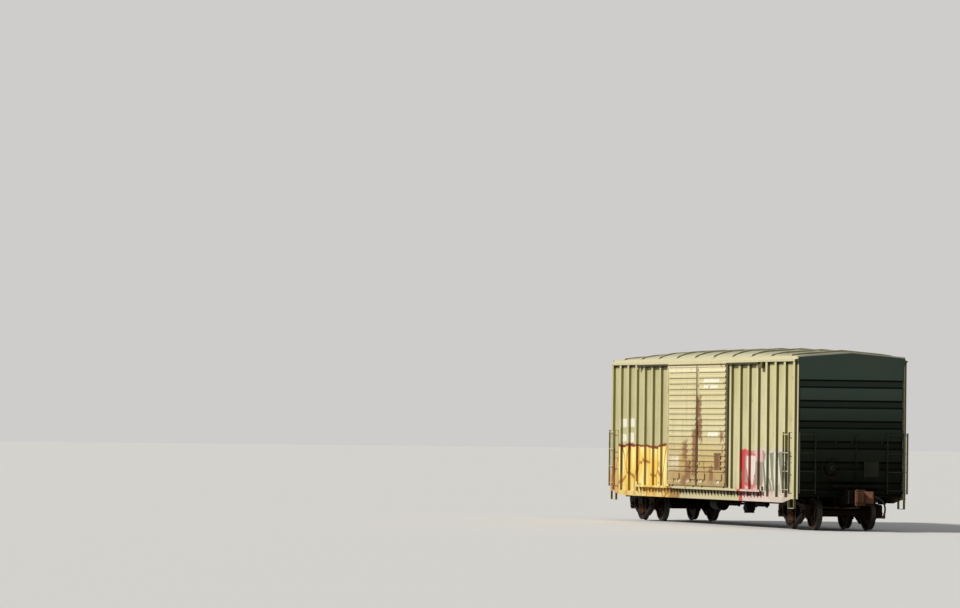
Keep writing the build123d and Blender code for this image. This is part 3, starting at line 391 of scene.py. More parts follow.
def door_paint(colours):
    """The leaves' paint: warmer than the sides, tan low down, with chalk patches and brown rust runs, painted light
    over the head, painted shade under the ribs and along the outer edge, a dark strip with painted shade where the
    leaves meet, and plywood on the inside."""
    f = Finish("door_paint", Specular_IOR_Level=0.3)
    left = left_only(f)
    f.colour = f.mix(colours.door, colours.faded, f.noise((0.5, 0.5, 0.4), 3.0).step(0.40, 0.70))
    f.cover(srgb(188, 151, 78), f.z.step(2.7, 1.6) * (0.40 + 0.60 * f.noise((1.0, 1.0, 0.6), 4.0)))
    edge = (f.noise((6.0, 6.0, 6.0), 3.0) - 0.5) * 0.07
    faded = f.inside(*FADED_CHALK, edge, 0.09) * f.noise((1.6, 1.6, 1.6), 2.0).step(0.10, 0.95)
    f.cover(CHALK, f.inside_any(LEAF_CHALK + ROLLER_MARKS, edge).most(faded) * left * 0.8)
    wobble = (f.noise((3.0, 3.0, 1.2), 4.0) - 0.5) * 0.30
    runs = f.noise((11.0, 11.0, 0.7), 5.0, 0.6)
    ragged = wobble * 0.7 + (runs - 0.5) * 0.55
    streak = f.inside(*TOP_RUN, ragged, 0.08).most(f.inside_any(RUST_RUNS, ragged, 0.07))
    rust = f.mix(srgb(110, 60, 28), srgb(142, 90, 46), runs.step(0.3, 0.7))
    f.cover(rust, streak * (0.75 + 0.25 * runs.step(0.35, 0.6)) * left * 0.94)
    f.cover(srgb(140, 96, 58), f.z.step(1.65, 1.10) * runs.step(0.42, 0.68) * 0.5)
    # Painted light: lighter over the plain head of the leaf
    f.cover(srgb(244, 236, 200), f.z.step(4.10, 4.22) * 0.6)
    roughness, height = weathered(f, 0.9, 1.9, 1.0)
    # Painted shade on the undersides of the ribs
    f.cover(PAINTED_SHADE, f.normal("Z").step(-0.25, -0.6) * f.z.step(4.28, 4.26) * 0.9)
    f.cover(srgb(84, 44, 26), abs(f.x).step(0.10, 0.07) * f.z.step(3.0, 2.6) * 0.8)
    # A dark strip where the leaves meet: a weather strip with painted shade
    f.cover(srgb(84, 66, 36), abs(f.x).step(0.050, 0.035) * 0.8)
    # Painted shade along the leaf's outer edge
    f.cover(GAP_SHADE, side_along(f, left).step(2.33, 2.345) * 0.85)
    f.cover(plywood(f), abs(f.y).step(1.5655, 1.5645))
    return f.give(roughness, height=height, depth=0.004)


def end_paint(colours):
    """Dark weathered green of the ends, with painted shade that makes it darker and browner low down and darkens the
    grooves and the ribs' slopes, and the sides' paint where the gable's edge faces a side."""
    f = Finish("end_paint", Specular_IOR_Level=0.06)
    f.colour = f.mix(colours.end, srgb(104, 112, 96), f.noise((0.5, 0.8, 0.6), 4.0).step(0.35, 0.7) * 0.6)
    f.cover(srgb(116, 112, 94), f.noise((9.0, 12.0, 0.45), 5.0, 0.6).step(0.60, 0.85) * 0.22)
    roughness, height = weathered(f, 0.45, 1.4, 0.8, 0.70)
    # Painted shade: darker and browner towards the bottom
    f.cover(srgb(46, 50, 38), f.z.step(4.0, 2.2) * 0.93)
    f.cover(srgb(14, 16, 9), f.z.step(2.4, 1.0) * 0.90)
    # Painted shade in the grooves between the ribs and on the ribs' sloping faces
    groove = abs(f.x).between(END_X - 0.03, END_X - 0.02, RIB_X - 0.040, RIB_X - 0.012) * f.z.step(3.97, 3.96)
    f.cover(srgb(22, 24, 16), groove * 0.55)
    f.cover(srgb(8, 9, 5), abs(f.normal("Z")).step(0.20, 0.50) * 0.92)
    f.cover(colours.side, abs(f.normal("Y")).step(0.6, 0.8) * f.z.step(4.49, 4.50))
    linings(f)
    return f.give(roughness, height=height, depth=0.004)


def roof_paint(colours):
    """Thin roof paint worn to bare zinc between the seams, cream near the eaves, with a painted shadow on the B side
    of each light seam cap, painted shade near the ends and a painted highlight on the end edges."""
    f = Finish("roof_paint", Specular_IOR_Level=0.35)
    away = abs(f.y)
    worn = f.mix(srgb(172, 172, 140), colours.roof, f.x.step(5.0, 6.2))
    f.colour = f.mix(worn, srgb(171, 165, 131), f.noise((0.7, 0.7, 0.7), 6.0, 0.6).step(0.35, 0.65))
    f.cover(colours.faded, away.step(1.10, 1.40) * (0.9 - 0.5 * f.noise((1.5, 0.6, 1.5), 3.0)))
    f.cover(srgb(214, 207, 172), away.step(1.44, 1.47))
    # Painted shadow beside the B side of each seam cap, weaker near the ridge
    beyond_seam = (f.x - FIRST_SEAM + SEAM_PITCH / 2) % SEAM_PITCH - SEAM_PITCH / 2
    shadow = beyond_seam.between(0.040, 0.046, 0.12, 0.18) * away.step(1.48, 1.46)
    f.cover(srgb(50, 46, 24), shadow * (0.50 + 0.43 * away.step(0.5, 1.2)))
    f.cover(srgb(206, 200, 166), beyond_seam.between(-0.050, -0.044, 0.040, 0.046) * 0.75)
    # Painted shade across the roof near its ends, and a painted highlight on its end edges
    f.cover(srgb(60, 62, 48), abs(f.x).step(RIB_X - 0.12, RIB_X - 0.08) * 0.7)
    f.cover(srgb(226, 222, 200), abs(f.x).step(RIB_X - 0.004, RIB_X - 0.001))
    roughness, height = weathered(f, 0.5, 0.0, -1.0, 0.66)
    return f.give(roughness, height=height, depth=0.004)


def floor_boards():
    """Worn planks laid across the car, with dark joints and a trodden middle."""
    f = Finish("floor_boards", Specular_IOR_Level=0.3)
    width = 0.143
    joint = abs(f.x % width - width / 2).step(width / 2 - 0.004, width / 2 - 0.001)
    number = f.x / width
    tint = f.node("ShaderNodeTexWhiteNoise", {"noise_dimensions": "1D"}, {"W": number.maths("FLOOR", number)})
    grain = f.noise((34.0, 1.6, 1.6), 5.0, 0.6)
    f.colour = f.mix(srgb(128, 98, 64), srgb(88, 64, 42), grain.step(0.3, 0.7))
    f.cover(srgb(146, 124, 94), tint * 0.6)
    f.cover(srgb(30, 24, 18), joint)
    f.cover(srgb(70, 60, 48), abs(f.y).step(0.9, 1.4) * 0.4)
    return f.give(0.62 + 0.2 * grain, height=grain * 0.4 - joint, depth=0.003)


def grimy(name, base, dust, rusting, dusting=1.0):
    """Dark oily steel or casting, dusted brown on top and rusty in patches."""
    f = Finish(name, Specular_IOR_Level=0.12)
    patches = f.noise((2.2, 2.2, 2.2), 7.0, 0.6)
    grain = f.noise((22.0, 22.0, 22.0), 5.0, 0.6)
    f.colour = f.mix(base, dust, patches.step(0.42, 0.66) * 0.7)
    f.cover(RUST, grain.step(0.52, 0.72) * rusting)
    f.cover(DUST, f.normal("Z").step(0.4, 0.95) * (0.25 + 0.5 * patches) * dusting)
    return f.give(0.62 + 0.25 * grain, height=grain + patches, depth=0.003)


def wheel_steel(name, centre_x):
    """Rusty wheel plates with oil about the hub, and treads rubbed bright, about an axle at centre_x."""
    f = Finish(name, Specular_IOR_Level=0.2)
    dx, dz = f.x - centre_x, f.z - AXLE_Z
    radius = (dx * dx + dz * dz).root()
    tread = radius.step(0.404, 0.414)
    patches = f.noise((5.0, 5.0, 5.0), 7.0, 0.6)
    f.colour = f.mix(srgb(56, 37, 27), srgb(26, 19, 15), patches.step(0.38, 0.64))
    f.cover(srgb(88, 62, 44), radius.step(0.24, 0.36) * patches.step(0.5, 0.7) * 0.4)
    f.cover(srgb(22, 19, 17), radius.step(0.17, 0.12) * 0.8)
    f.cover(srgb(66, 64, 60), tread)
    return f.give(0.75 - tread * 0.20, tread * 0.3, patches, 0.003)


def hose_rubber():
    """Dull rubber with fine specks of dust."""
    f = Finish("hose_rubber", Specular_IOR_Level=0.4)
    fine = f.noise((40.0, 40.0, 40.0), 4.0)
    f.colour = f.mix(srgb(26, 25, 24), srgb(92, 82, 68), fine.step(0.5, 0.75) * 0.6)
    return f.give(0.6 + 0.3 * fine, height=fine, depth=0.002)


def all_finishes(colours):
    """Every material by the name of its finish."""
    made = {
        "side": side_paint(colours),
        "door": door_paint(colours),
        "end": end_paint(colours),
        "roof": roof_paint(colours),
        "boards": floor_boards(),
        "underframe": grimy("underframe_paint", colours.underframe, srgb(46, 38, 30), 0.15, 0.3),
        "casting": grimy("truck_casting", colours.casting, srgb(52, 37, 27), 0.2, 0.3),
        "coupler": grimy("rusty_casting", colours.coupler, srgb(140, 98, 76), 0.4, 0.4),
        "spring": grimy("spring_steel", srgb(84, 54, 38), srgb(104, 72, 52), 0.5, 0.5),
        "rubber": hose_rubber(),
        "trim": grimy("end_trim", colours.trim, srgb(60, 62, 50), 0.1, 0.2),
        "bare": grimy("bare_steel", srgb(150, 152, 148), srgb(120, 116, 106), 0.1, 0.2),
        "board": grimy("weathered_board", colours.board, srgb(112, 82, 56), 0.2),
        "track_stop": grimy("track_stop", srgb(112, 104, 64), srgb(78, 70, 40), 0.1, 0.3),
        "dark_board": grimy("dark_board", srgb(58, 60, 50), srgb(44, 44, 36), 0.1, 0.3),
    }
    for end in ENDS:
        for number in AXLES:
            made[f"wheel_{end}{number}"] = wheel_steel(f"wheel_steel_{end}{number}", axle_x(end, number))
    return made


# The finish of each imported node, and of any piece that stands for it
NODE_FINISHES = {
    "side": ("side_sills wall_left_a wall_left_b wall_right_a wall_right_b corner_posts door_frames side_plates "
             "upper_door_tracks lower_door_tracks side_ladders sill_steps").split(),
    "door": "door_left_a door_left_b door_right_a door_right_b".split(),
    "end": "end_wall_a end_wall_b".split(),
    "trim": "end_ladders hand_brake".split(),
    "roof": "roof roof_seam_caps".split(),
    "boards": ["floor"],
    "underframe": ("centre_sill body_bolsters crossbearers floor_stringers end_beams uncoupling_levers brake_pipe "
                   "brake_cylinder air_reservoir control_valve brake_rods brake_wheel crossover_platforms").split(),
    "casting": [part + end for end in ENDS for part in
                ("side_frames_", "truck_bolster_", "bearing_adapters_", "brake_beams_")],
    "coupler": "couplers coupler_knuckles hose_couplings".split(),
    "spring": "spring_nests_a spring_nests_b".split(),
    "rubber": "air_hose_a air_hose_b".split(),
}

# The materials by finish, filled in by the operator that paints the nodes
FINISHES = {}


# Meshes worked out as whole arrays

def quads(rows, cols, round_rows=False, round_cols=False):
    """Four-sided faces of a grid of points stored row by row, closed round where asked."""
    r, c = np.meshgrid(np.arange(rows - (not round_rows)), np.arange(cols - (not round_cols)), indexing="ij")
    below, beside = (r + 1) % rows, (c + 1) % cols
    return np.stack([r * cols + c, below * cols + c, below * cols + beside, r * cols + beside], -1).reshape(-1, 4)


def slab(front, back):
    """A closed shell between two grids of points of the same shape, joined round their edges."""
    rows, cols = front.shape[:2]
    points = np.concatenate([front.reshape(-1, 3), back.reshape(-1, 3)])
    skin = quads(rows, cols)
    index = np.arange(rows * cols).reshape(rows, cols)
    ring = np.concatenate([index[0, :], index[1:, -1], index[-1, -2::-1], index[-2:0:-1, 0]])
    after = np.roll(ring, -1)
    rim = np.stack([ring, after, after + rows * cols, ring + rows * cols], -1)
    return points, [skin, skin[:, ::-1] + rows * cols, rim]


def boxes(centres, sizes):
    """Boxes with the given centres and full sizes, as rows of x, y, z."""
    centres, sizes = np.broadcast_arrays(np.atleast_2d(centres).astype(float), np.atleast_2d(sizes).astype(float))
    corner = np.array([[x, y, z] for z in (-1, 1) for y in (-1, 1) for x in (-1, 1)]) / 2
    points = (centres[:, None] + corner * sizes[:, None]).reshape(-1, 3)
    faces = np.array([[0, 2, 3, 1], [4, 5, 7, 6], [0, 1, 5, 4], [2, 6, 7, 3], [0, 4, 6, 2], [1, 3, 7, 5]])
    return points, [(faces[None] + 8 * np.arange(len(centres))[:, None, None]).reshape(-1, 4)]


def lathes(starts, ends, profile, sides):
    """Turned bodies: each runs from a start to an end, and its radius follows the profile's rows of
    (share of the way, radius). The first and last rings are closed by flat faces."""
    starts, ends = np.broadcast_arrays(np.atleast_2d(starts).astype(float), np.atleast_2d(ends).astype(float))
    along = ends - starts
    axis = along / np.linalg.norm(along, axis=1, keepdims=True)
    other = np.where(np.abs(axis[:, 2:]) > 0.9, [[1.0, 0, 0]], [[0, 0, 1.0]])
    side = np.cross(axis, other)
    side /= np.linalg.norm(side, axis=1, keepdims=True)
    third = np.cross(axis, side)
    turn = np.arange(sides) * 2 * math.pi / sides
    share, radius = np.array(profile, float).T
    ring = np.cos(turn)[:, None] * side[:, None] + np.sin(turn)[:, None] * third[:, None]
    middle = starts[:, None] + share[None, :, None] * along[:, None]
    points = middle[:, :, None] + radius[None, :, None, None] * ring[:, None]
    each = len(share) * sides
    first = each * np.arange(len(starts))[:, None]
    skin = (quads(len(share), sides, round_cols=True)[None] + first[..., None]).reshape(-1, 4)
    caps = np.concatenate([np.arange(sides)[::-1][None] + first, np.arange(sides)[None] + first + each - sides])
    return points.reshape(-1, 3), [skin, caps]


def rods(starts, ends, radius):
    """Plain round bars between pairs of points."""
    return lathes(starts, ends, ((0, radius), (1, radius)), 12)


def rivets(centres, normal, radius, height):
    """Low domes on a flat face, each a lathe that narrows as a quarter of an ellipse."""
    centres = np.atleast_2d(centres).astype(float)
    lift = np.linspace(0, 1, 4)[:-1]
    profile = [(-0.2, radius)] + [(math.sin(t * math.pi / 2), radius * math.cos(t * math.pi / 2)) for t in lift]
    profile.append((1.0, radius * 0.15))
    return lathes(centres, centres + np.array(normal, float) * height, profile, 8)


def bolts(centres, normal, across, height):
    """Hexagon heads that stand on a flat face on a washer."""
    centres = np.atleast_2d(centres).astype(float)
    shares = ((-0.2, 0.75), (0.15, 0.75), (0.15, 0.56), (0.9, 0.56), (1, 0.48))
    head = [(share, across * wide) for share, wide in shares]
    return lathes(centres, centres + np.array(normal, float) * height, head, 6)


def tube(path, radius, reference, sides, closed=False):
    """A round tube along points. Each ring stands on the path's direction, and turns from the part of the
    reference vector that is square to it. Radius and reference may vary along the path."""
    path = np.asarray(path, float)
    if closed:
        run = np.roll(path, -1, 0) - np.roll(path, 1, 0)
    else:
        run = np.gradient(path, axis=0)
    run /= np.linalg.norm(run, axis=1, keepdims=True)
    reference = np.broadcast_to(np.asarray(reference, float), path.shape)
    side = reference - (reference * run).sum(1, keepdims=True) * run
    side /= np.linalg.norm(side, axis=1, keepdims=True)
    third = np.cross(run, side)
    turn = np.arange(sides) * 2 * math.pi / sides
    radius = np.broadcast_to(np.asarray(radius, float), len(path))[:, None, None]
    ring = np.cos(turn)[:, None] * side[:, None] + np.sin(turn)[:, None] * third[:, None]
    points = (path[:, None] + radius * ring).reshape(-1, 3)
    faces = [quads(len(path), sides, closed, True)]
    if not closed:
        faces.append(np.stack([np.arange(sides)[::-1], np.arange(sides) + (len(path) - 1) * sides]))
    return points, faces


def smooth(t):
    """0 below 0, 1 above 1, and 3t^2 - 2t^3 between."""
    t = np.clip(t, 0, 1)
    return t * t * (3 - 2 * t)


def dented(depth, across, up, dents):
    """The depth of a sheet less a round dent, a bell curve of the distance, at each of the dents' places."""
    for centre, height, width, deep in dents:
        depth = depth - deep * np.exp(-((across - centre) ** 2 + (up - height) ** 2) / width ** 2)
    return depth


def stations(low, high, step, *marks):
    """Sorted places from low to high, about a step apart, with all the marks between them."""
    even = np.linspace(low, high, int(round((high - low) / step)) + 1)
    both = np.concatenate([even, *[np.ravel(m) for m in marks]])
    both = np.unique(np.round(both[(both >= low) & (both <= high)], 5))
    closest = 0.0012
    return both[np.concatenate([[True], np.diff(both) > closest])]


def piece(name, parts, finish, body="car_body", replaces=(), round_edge=0.0, angle=35):
    """Joins parts, each points with lists of faces, into one object that rides on a body."""
    points, faces, start = [], [], 0
    for part_points, part_faces in parts:
        points.append(part_points)
        for group in part_faces:
            faces.extend((group + start).tolist())
        start += len(part_points)
    mesh = bpy.data.meshes.new(name)
    mesh.from_pydata(np.concatenate(points).tolist(), [], faces)
    return finished(name, mesh, finish, body, replaces, round_edge, angle)


def finished(name, mesh, finish, body, replaces, round_edge, angle):
    """Turns a mesh's faces outwards, shades it, and hands the object to its body."""
    shell = bmesh.new()
    shell.from_mesh(mesh)
    bmesh.ops.recalc_face_normals(shell, faces=shell.faces)
    shell.to_mesh(mesh)
    shell.free()
    mesh.shade_smooth()
    mesh.set_sharp_from_angle(angle=math.radians(angle))
    made = bpy.data.objects.new(name, mesh)
    bpy.context.scene.collection.objects.link(made)
    mesh.materials.append(FINISHES[finish])
    if round_edge:
        bevel = made.modifiers.new("round_edges", "BEVEL")
        bevel.width = round_edge
        bevel.segments = 2
        bevel.limit_method = "ANGLE"
        bevel.angle_limit = math.radians(angle)
    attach(made, body)
    if replaces:
        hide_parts(*replaces)
    return made


def mirrored(parts, across, along=1):
    """The parts with Y and X multiplied by 1 or -1."""
    turn = np.array([along, across, 1.0])
    return [(points * turn, faces) for points, faces in parts]


def softened(name, node, finish, body, round_edge):
    """A cast piece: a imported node's own shape, merged, its flat faces joined and its edges rounded."""
    same_point, same_plane, sharp_edge = 0.0002, math.radians(1.5), 32
    shell = bmesh.new()
    shell.from_mesh(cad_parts[node].data)
    bmesh.ops.remove_doubles(shell, verts=shell.verts, dist=same_point)
    bmesh.ops.dissolve_limit(shell, angle_limit=same_plane, verts=shell.verts, edges=shell.edges)
    mesh = bpy.data.meshes.new(name)
    shell.to_mesh(mesh)
    shell.free()
    return finished(name, mesh, finish, body, (node,), round_edge, sharp_edge)


# Roof, ends and doors

def roof_height(x, y):
    """Height of the roof's outer face. Knee and ridge stand over the eave by shares of x: the most in the
    level middle and the least over the ends. From eave to knee and from knee to ridge it is straight, but
    for a rounding about the knee, the mean of three places a little apart."""
    share = np.clip((LINING_X - np.abs(x)) / (LINING_X - ROOF_LEVEL), 0, 1)
    knee = END_KNEE_RISE + share * (KNEE_RISE - END_KNEE_RISE)
    ridge = END_RIDGE_RISE + share * (RIDGE_RISE - END_RIDGE_RISE)
    total, shifts = 0, (-0.10, 0, 0.10)
    for shift in shifts:
        away = np.abs(y) + shift * smooth((SHEET_Y - np.abs(y)) / 0.3) * smooth(np.abs(y) / 0.5)
        steep = knee * (SHEET_Y - away) / (SHEET_Y - KNEE_Y)
        flat = knee + (ridge - knee) * (1 - away / KNEE_Y)
        total = total + np.where(away > KNEE_Y, steep, flat) / len(shifts)
    return EAVE + total


def roof_sheets(sizes):
    """The roof: panels embossed with a raised X between the seams, and a slight sag in each.
    Height = roof_height + X * (smooth bump about the panel's two diagonals)."""
    x = stations(-RIB_X, RIB_X, 0.045, [-LINING_X, LINING_X])
    y = stations(-SHEET_Y, SHEET_Y, 0.040, [0.0, -KNEE_Y, KNEE_Y])
    x, y = np.meshgrid(x, y, indexing="ij")
    across = ((x - FIRST_SEAM) / SEAM_PITCH) % 1.0
    down = np.abs(y) / SHEET_Y
    reach = np.minimum(np.abs(across - down), np.abs(across + down - 1)) * SEAM_PITCH
    border = smooth((np.minimum(across, 1 - across) - 0.05) / 0.06) * smooth((0.94 - down) / 0.05)
    border *= smooth((down - 0.04) / 0.05) * (np.abs(x) < -FIRST_SEAM)
    bump = smooth(1 - reach / 0.14) * sizes.roof_emboss
    sag = -0.006 * np.sin(across * math.pi) * np.sin(np.clip(down, 0, 1) * math.pi)
    base = roof_height(x, y)
    top = np.stack([x, y, base + border * bump + sag], -1)
    under = np.stack([x, y, base - ROOF_THICKNESS], -1)
    piece("roof_sheets", [slab(top, under)], "roof", replaces=["roof"], angle=50)


def seam_caps():
    """Raised caps on the roof joints: each is a smooth hump in X, with sloped ends and rivets."""
    height, half = 0.045, 0.045
    across = np.linspace(-1, 1, 9)
    hump = np.sqrt(np.clip(1 - across ** 6, 0, 1)) * height
    low = SHEET_Y - 0.060
    y = stations(-low, low, 0.08, [-low + 0.03, 0.0, low - 0.03])
    reach = np.where(np.abs(y) > low - 0.01, 0.1, 1)
    seams = FIRST_SEAM + SEAM_PITCH * np.arange(10)
    parts = []
    for centre in seams:
        x, rows = np.meshgrid(centre + across * half, y, indexing="ij")
        base = roof_height(x, rows)
        top = np.stack([x, rows, base + hump[:, None] * reach], -1)
        under = np.stack([x, rows, base - 0.006], -1)
        parts.append(slab(top, under))
    spots = np.array([[x, side * dy] for x in seams for side in (-1, 1) for dy in (0.12, 0.42, 0.72, 1.02, 1.32)])
    heads = np.column_stack([spots, roof_height(spots[:, 0], spots[:, 1]) + height - 0.002])
    parts.append(rivets(heads, (0, 0, 1), 0.011, 0.003))
    piece("roof_seam_covers", parts, "roof", replaces=["roof_seam_caps"], angle=40)


# Ribs of the ends, in metres: the top of the first groove, a groove's height, the ribs' pitch, the height of
# their slopes, and the foot of the lowest rib
FIRST_GROOVE = RAIL + 3.885
END_GROOVE = 0.180
END_RIBS, END_RIB_PITCH, END_RIB_SLOPE = 6, 0.535, 0.055
LOWEST_RIB = RAIL + 0.9
END_LAP = 4.270
HALF_SILL_GAP = 0.232


def end_ribs():
    """Heights of the lower edges and of the upper edges of the ends' ribs, from the top one down."""
    tops = FIRST_GROOVE - END_GROOVE - END_RIB_PITCH * np.arange(END_RIBS)
    return np.maximum(tops + END_GROOVE - END_RIB_PITCH, LOWEST_RIB), tops


def end_reach(y, z, dents):
    """How far the end stands out at a place: for the plain top and each rib a smooth step up less a smooth
    step down, with rounded rib ends beside the corner posts, and a few shallow dents."""
    total = smooth((z - FIRST_GROOVE) / END_RIB_SLOPE) + np.zeros(np.broadcast(y, z).shape)
    for low, top in zip(*end_ribs()):
        total = total + smooth((z - low) / END_RIB_SLOPE) - smooth((z - top) / END_RIB_SLOPE)
    taper = 1 - (1 - smooth((HALF_Y - np.abs(y)) / 0.05)) * 0.75 * (z < FIRST_GROOVE)
    out = END_X + (RIB_X - END_X) * total * taper
    return dented(out, y, z, dents) - 0.002 * np.sin(y * 5.1 + 1) * np.sin(z * 4.3)


# Dents as rows of place across, height, width and depth, in metres
END_DENTS = {
    "b": ((-0.3, 2.2, 0.25, 0.014), (0.7, 2.75, 0.30, 0.010), (0.2, 1.35, 0.2, 0.012), (-0.9, 3.3, 0.35, 0.008)),
    "a": ((0.5, 2.4, 0.3, 0.016), (-0.6, 1.8, 0.25, 0.012), (-0.2, 3.2, 0.3, 0.009), (0.9, 1.3, 0.2, 0.010)),
}


def end_sheets(end):
    """An end wall: ribbed sheet on a flat lining, the skirt beside the sill, and the plain gable."""
    sign = ENDS[end]
    marks = np.concatenate([[FIRST_GROOVE], *end_ribs()])[:, None] + END_RIB_SLOPE * np.linspace(0, 1, 7)
    skirt = LOWEST_RIB - 0.03
    fields = ((-HALF_Y, HALF_Y, FLOOR_LOW, PLATE_LOW), (-HALF_Y, -HALF_SILL_GAP, skirt, FLOOR_LOW),
              (HALF_SILL_GAP, HALF_Y, skirt, FLOOR_LOW))
    sheets = []
    for y0, y1, z0, z1 in fields:
        y = stations(y0, y1, 0.07, [-HALF_Y + 0.02, -HALF_Y + 0.05, HALF_Y - 0.02, HALF_Y - 0.05])
        y, z = np.meshgrid(y, stations(z0, z1, 0.03, marks), indexing="ij")
        sheets.append((end_reach(y, z, END_DENTS[end]), y, z))
    y, share = np.meshgrid(stations(-SHEET_Y, SHEET_Y, 0.07, [0.0]), np.linspace(0, 1, 9), indexing="ij")
    z = PLATE_LOW + (roof_height(RIB_X, y) - ROOF_THICKNESS - PLATE_LOW) * share
    sheets.append((RIB_X - 0.002 * np.sin(y * 4) * np.sin(share * math.pi), y, z))
    parts = [slab(np.stack([out * sign, y, z], -1), np.stack([np.full(y.shape, LINING_X * sign), y, z], -1))
             for out, y, z in sheets]
    for y0 in (-1.38, -0.03):
        heads = [[(RIB_X - 0.0015) * sign, y, END_LAP + 0.03] for y in np.arange(y0, y0 + 1.42, 0.12)]
        parts.append(rivets(heads, (sign, 0, 0), 0.012, 0.0015))
    parts.append(boxes([(RIB_X - 0.003) * sign, 0, END_LAP], [0.006, 2 * HALF_Y, 0.010]))
    piece(f"end_sheets_{end}", parts, "end", replaces=[f"end_wall_{end}"], angle=42)


# Planes of the B leaf of a side, with Y towards its outside, and its ribs: rows of the height of a field's top
# rib over the leaf's foot and the number of ribs in the field
LEAF_X0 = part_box("door_left_b")[0].x
LEAF_X1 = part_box("door_left_b")[1].x
LEAF_OVER_TRACK = 0.05
LEAF_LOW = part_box("lower_door_tracks")[1].z + LEAF_OVER_TRACK
LEAF_HIGH = PLATE_LOW - 0.03
LEAF_INNER = POST_Y + 0.007
LEAF_PANEL = LEAF_INNER + 0.026
LEAF_FACE = LEAF_INNER + 0.048
RIB_FIELDS = ((3.080, 6), (2.096, 6), (1.110, 5))
RIB_PITCH, RIB_HEIGHT, RIB_SLOPE = 0.155, 0.070, 0.022


def leaf_ribs():
    """Heights of the lower edges of a leaf's ribs."""
    return np.concatenate([LEAF_LOW + top - RIB_PITCH * np.arange(count) for top, count in RIB_FIELDS])


def door_leaf(side, end, dents):
    """A sliding leaf: rounded level ribs with tapered ends inside a raised frame, dented a little.
    Depth = panel + rise * the larger of ribs(z) * taper(x) and frame(x, z)."""
    low = leaf_ribs()
    high = low + RIB_HEIGHT - RIB_SLOPE * 0.3
    bends = np.linspace(0, 1, 5) * RIB_SLOPE
    frame_width, foot_height, head_height = 0.055, 0.112, 0.090
    foot, head = LEAF_LOW + foot_height - RIB_SLOPE, LEAF_HIGH - head_height
    z = stations(LEAF_LOW, LEAF_HIGH, 0.12, low[:, None] + bends, high[:, None] + bends, foot + bends, head + bends)
    ends = np.array([0.0, 0.01, 0.02, 0.03, 0.05, 0.07, 0.09, 0.11]) + frame_width
    x = stations(LEAF_X0, LEAF_X1, 0.16, LEAF_X0 + ends, LEAF_X1 - ends, [LEAF_X0 + 0.045, LEAF_X1 - 0.045])
    x, z = np.meshgrid(x, z, indexing="ij")
    ribs = sum(smooth((z - foot_edge) / RIB_SLOPE) - smooth((z - top_edge) / RIB_SLOPE)
               for foot_edge, top_edge in zip(low, high))
    beside = np.minimum(x - LEAF_X0, LEAF_X1 - x)
    taper = smooth((beside - frame_width - 0.035) / 0.06)
    rails = np.maximum(smooth((LEAF_LOW + foot_height - z) / RIB_SLOPE), smooth((z - head) / RIB_SLOPE))
    edge = np.maximum(1 - smooth((beside - frame_width + 0.010) / 0.018), rails)
    depth = LEAF_PANEL + (LEAF_FACE - LEAF_PANEL) * np.maximum(ribs * taper, edge)
    waves = 1 + np.sin(x * 4.1 + dents[0][0]) * np.sin(z * 2.3)
    depth = dented(depth, x, z, dents) - 0.0015 * waves * smooth((beside - 0.06) / 0.2)
    front = np.stack([x, depth, z], -1)
    back = np.stack([x, np.full(x.shape, LEAF_INNER), z], -1)
    parts = mirrored([slab(front, back), leaf_wheels()], SIDES[side], ENDS[end])
    name = f"door_{side}_{end}"
    piece(name + "_leaf", parts, "door", name, [name], angle=28)


def leaf_wheels():
    """The two grooved rollers under a leaf, a running gap over the track, as one part."""
    radius, gap, inset = 0.035, 0.0003, 0.37
    z = LEAF_LOW - LEAF_OVER_TRACK + gap + radius
    profile = [(share, radius * wide) for share, wide in
               ((0, 0.8), (0.1, 1), (0.4, 1), (0.5, 0.9), (0.6, 1), (0.9, 1), (1, 0.8))]
    places = (LEAF_X0 + inset, LEAF_X1 - inset)
    return lathes([[x, LEAF_INNER + 0.004, z] for x in places], [[x, LEAF_FACE - 0.006, z] for x in places],
                  profile, 24)


# The leaves' dents, in rows like those of the ends
LEAF_DENTS = {
    "left_a": ((0.9, 1.9, 0.30, 0.007), (1.7, 1.35, 0.25, 0.009), (2.0, 3.1, 0.35, 0.005)),
    "left_b": ((1.2, 2.3, 0.35, 0.008), (0.6, 1.4, 0.22, 0.010), (1.9, 3.4, 0.30, 0.004)),
    "right_a": ((1.4, 1.7, 0.30, 0.009), (0.7, 2.9, 0.30, 0.006), (2.1, 1.3, 0.22, 0.008)),
    "right_b": ((0.8, 2.0, 0.32, 0.008), (1.8, 1.5, 0.25, 0.009), (1.3, 3.5, 0.35, 0.005)),
}


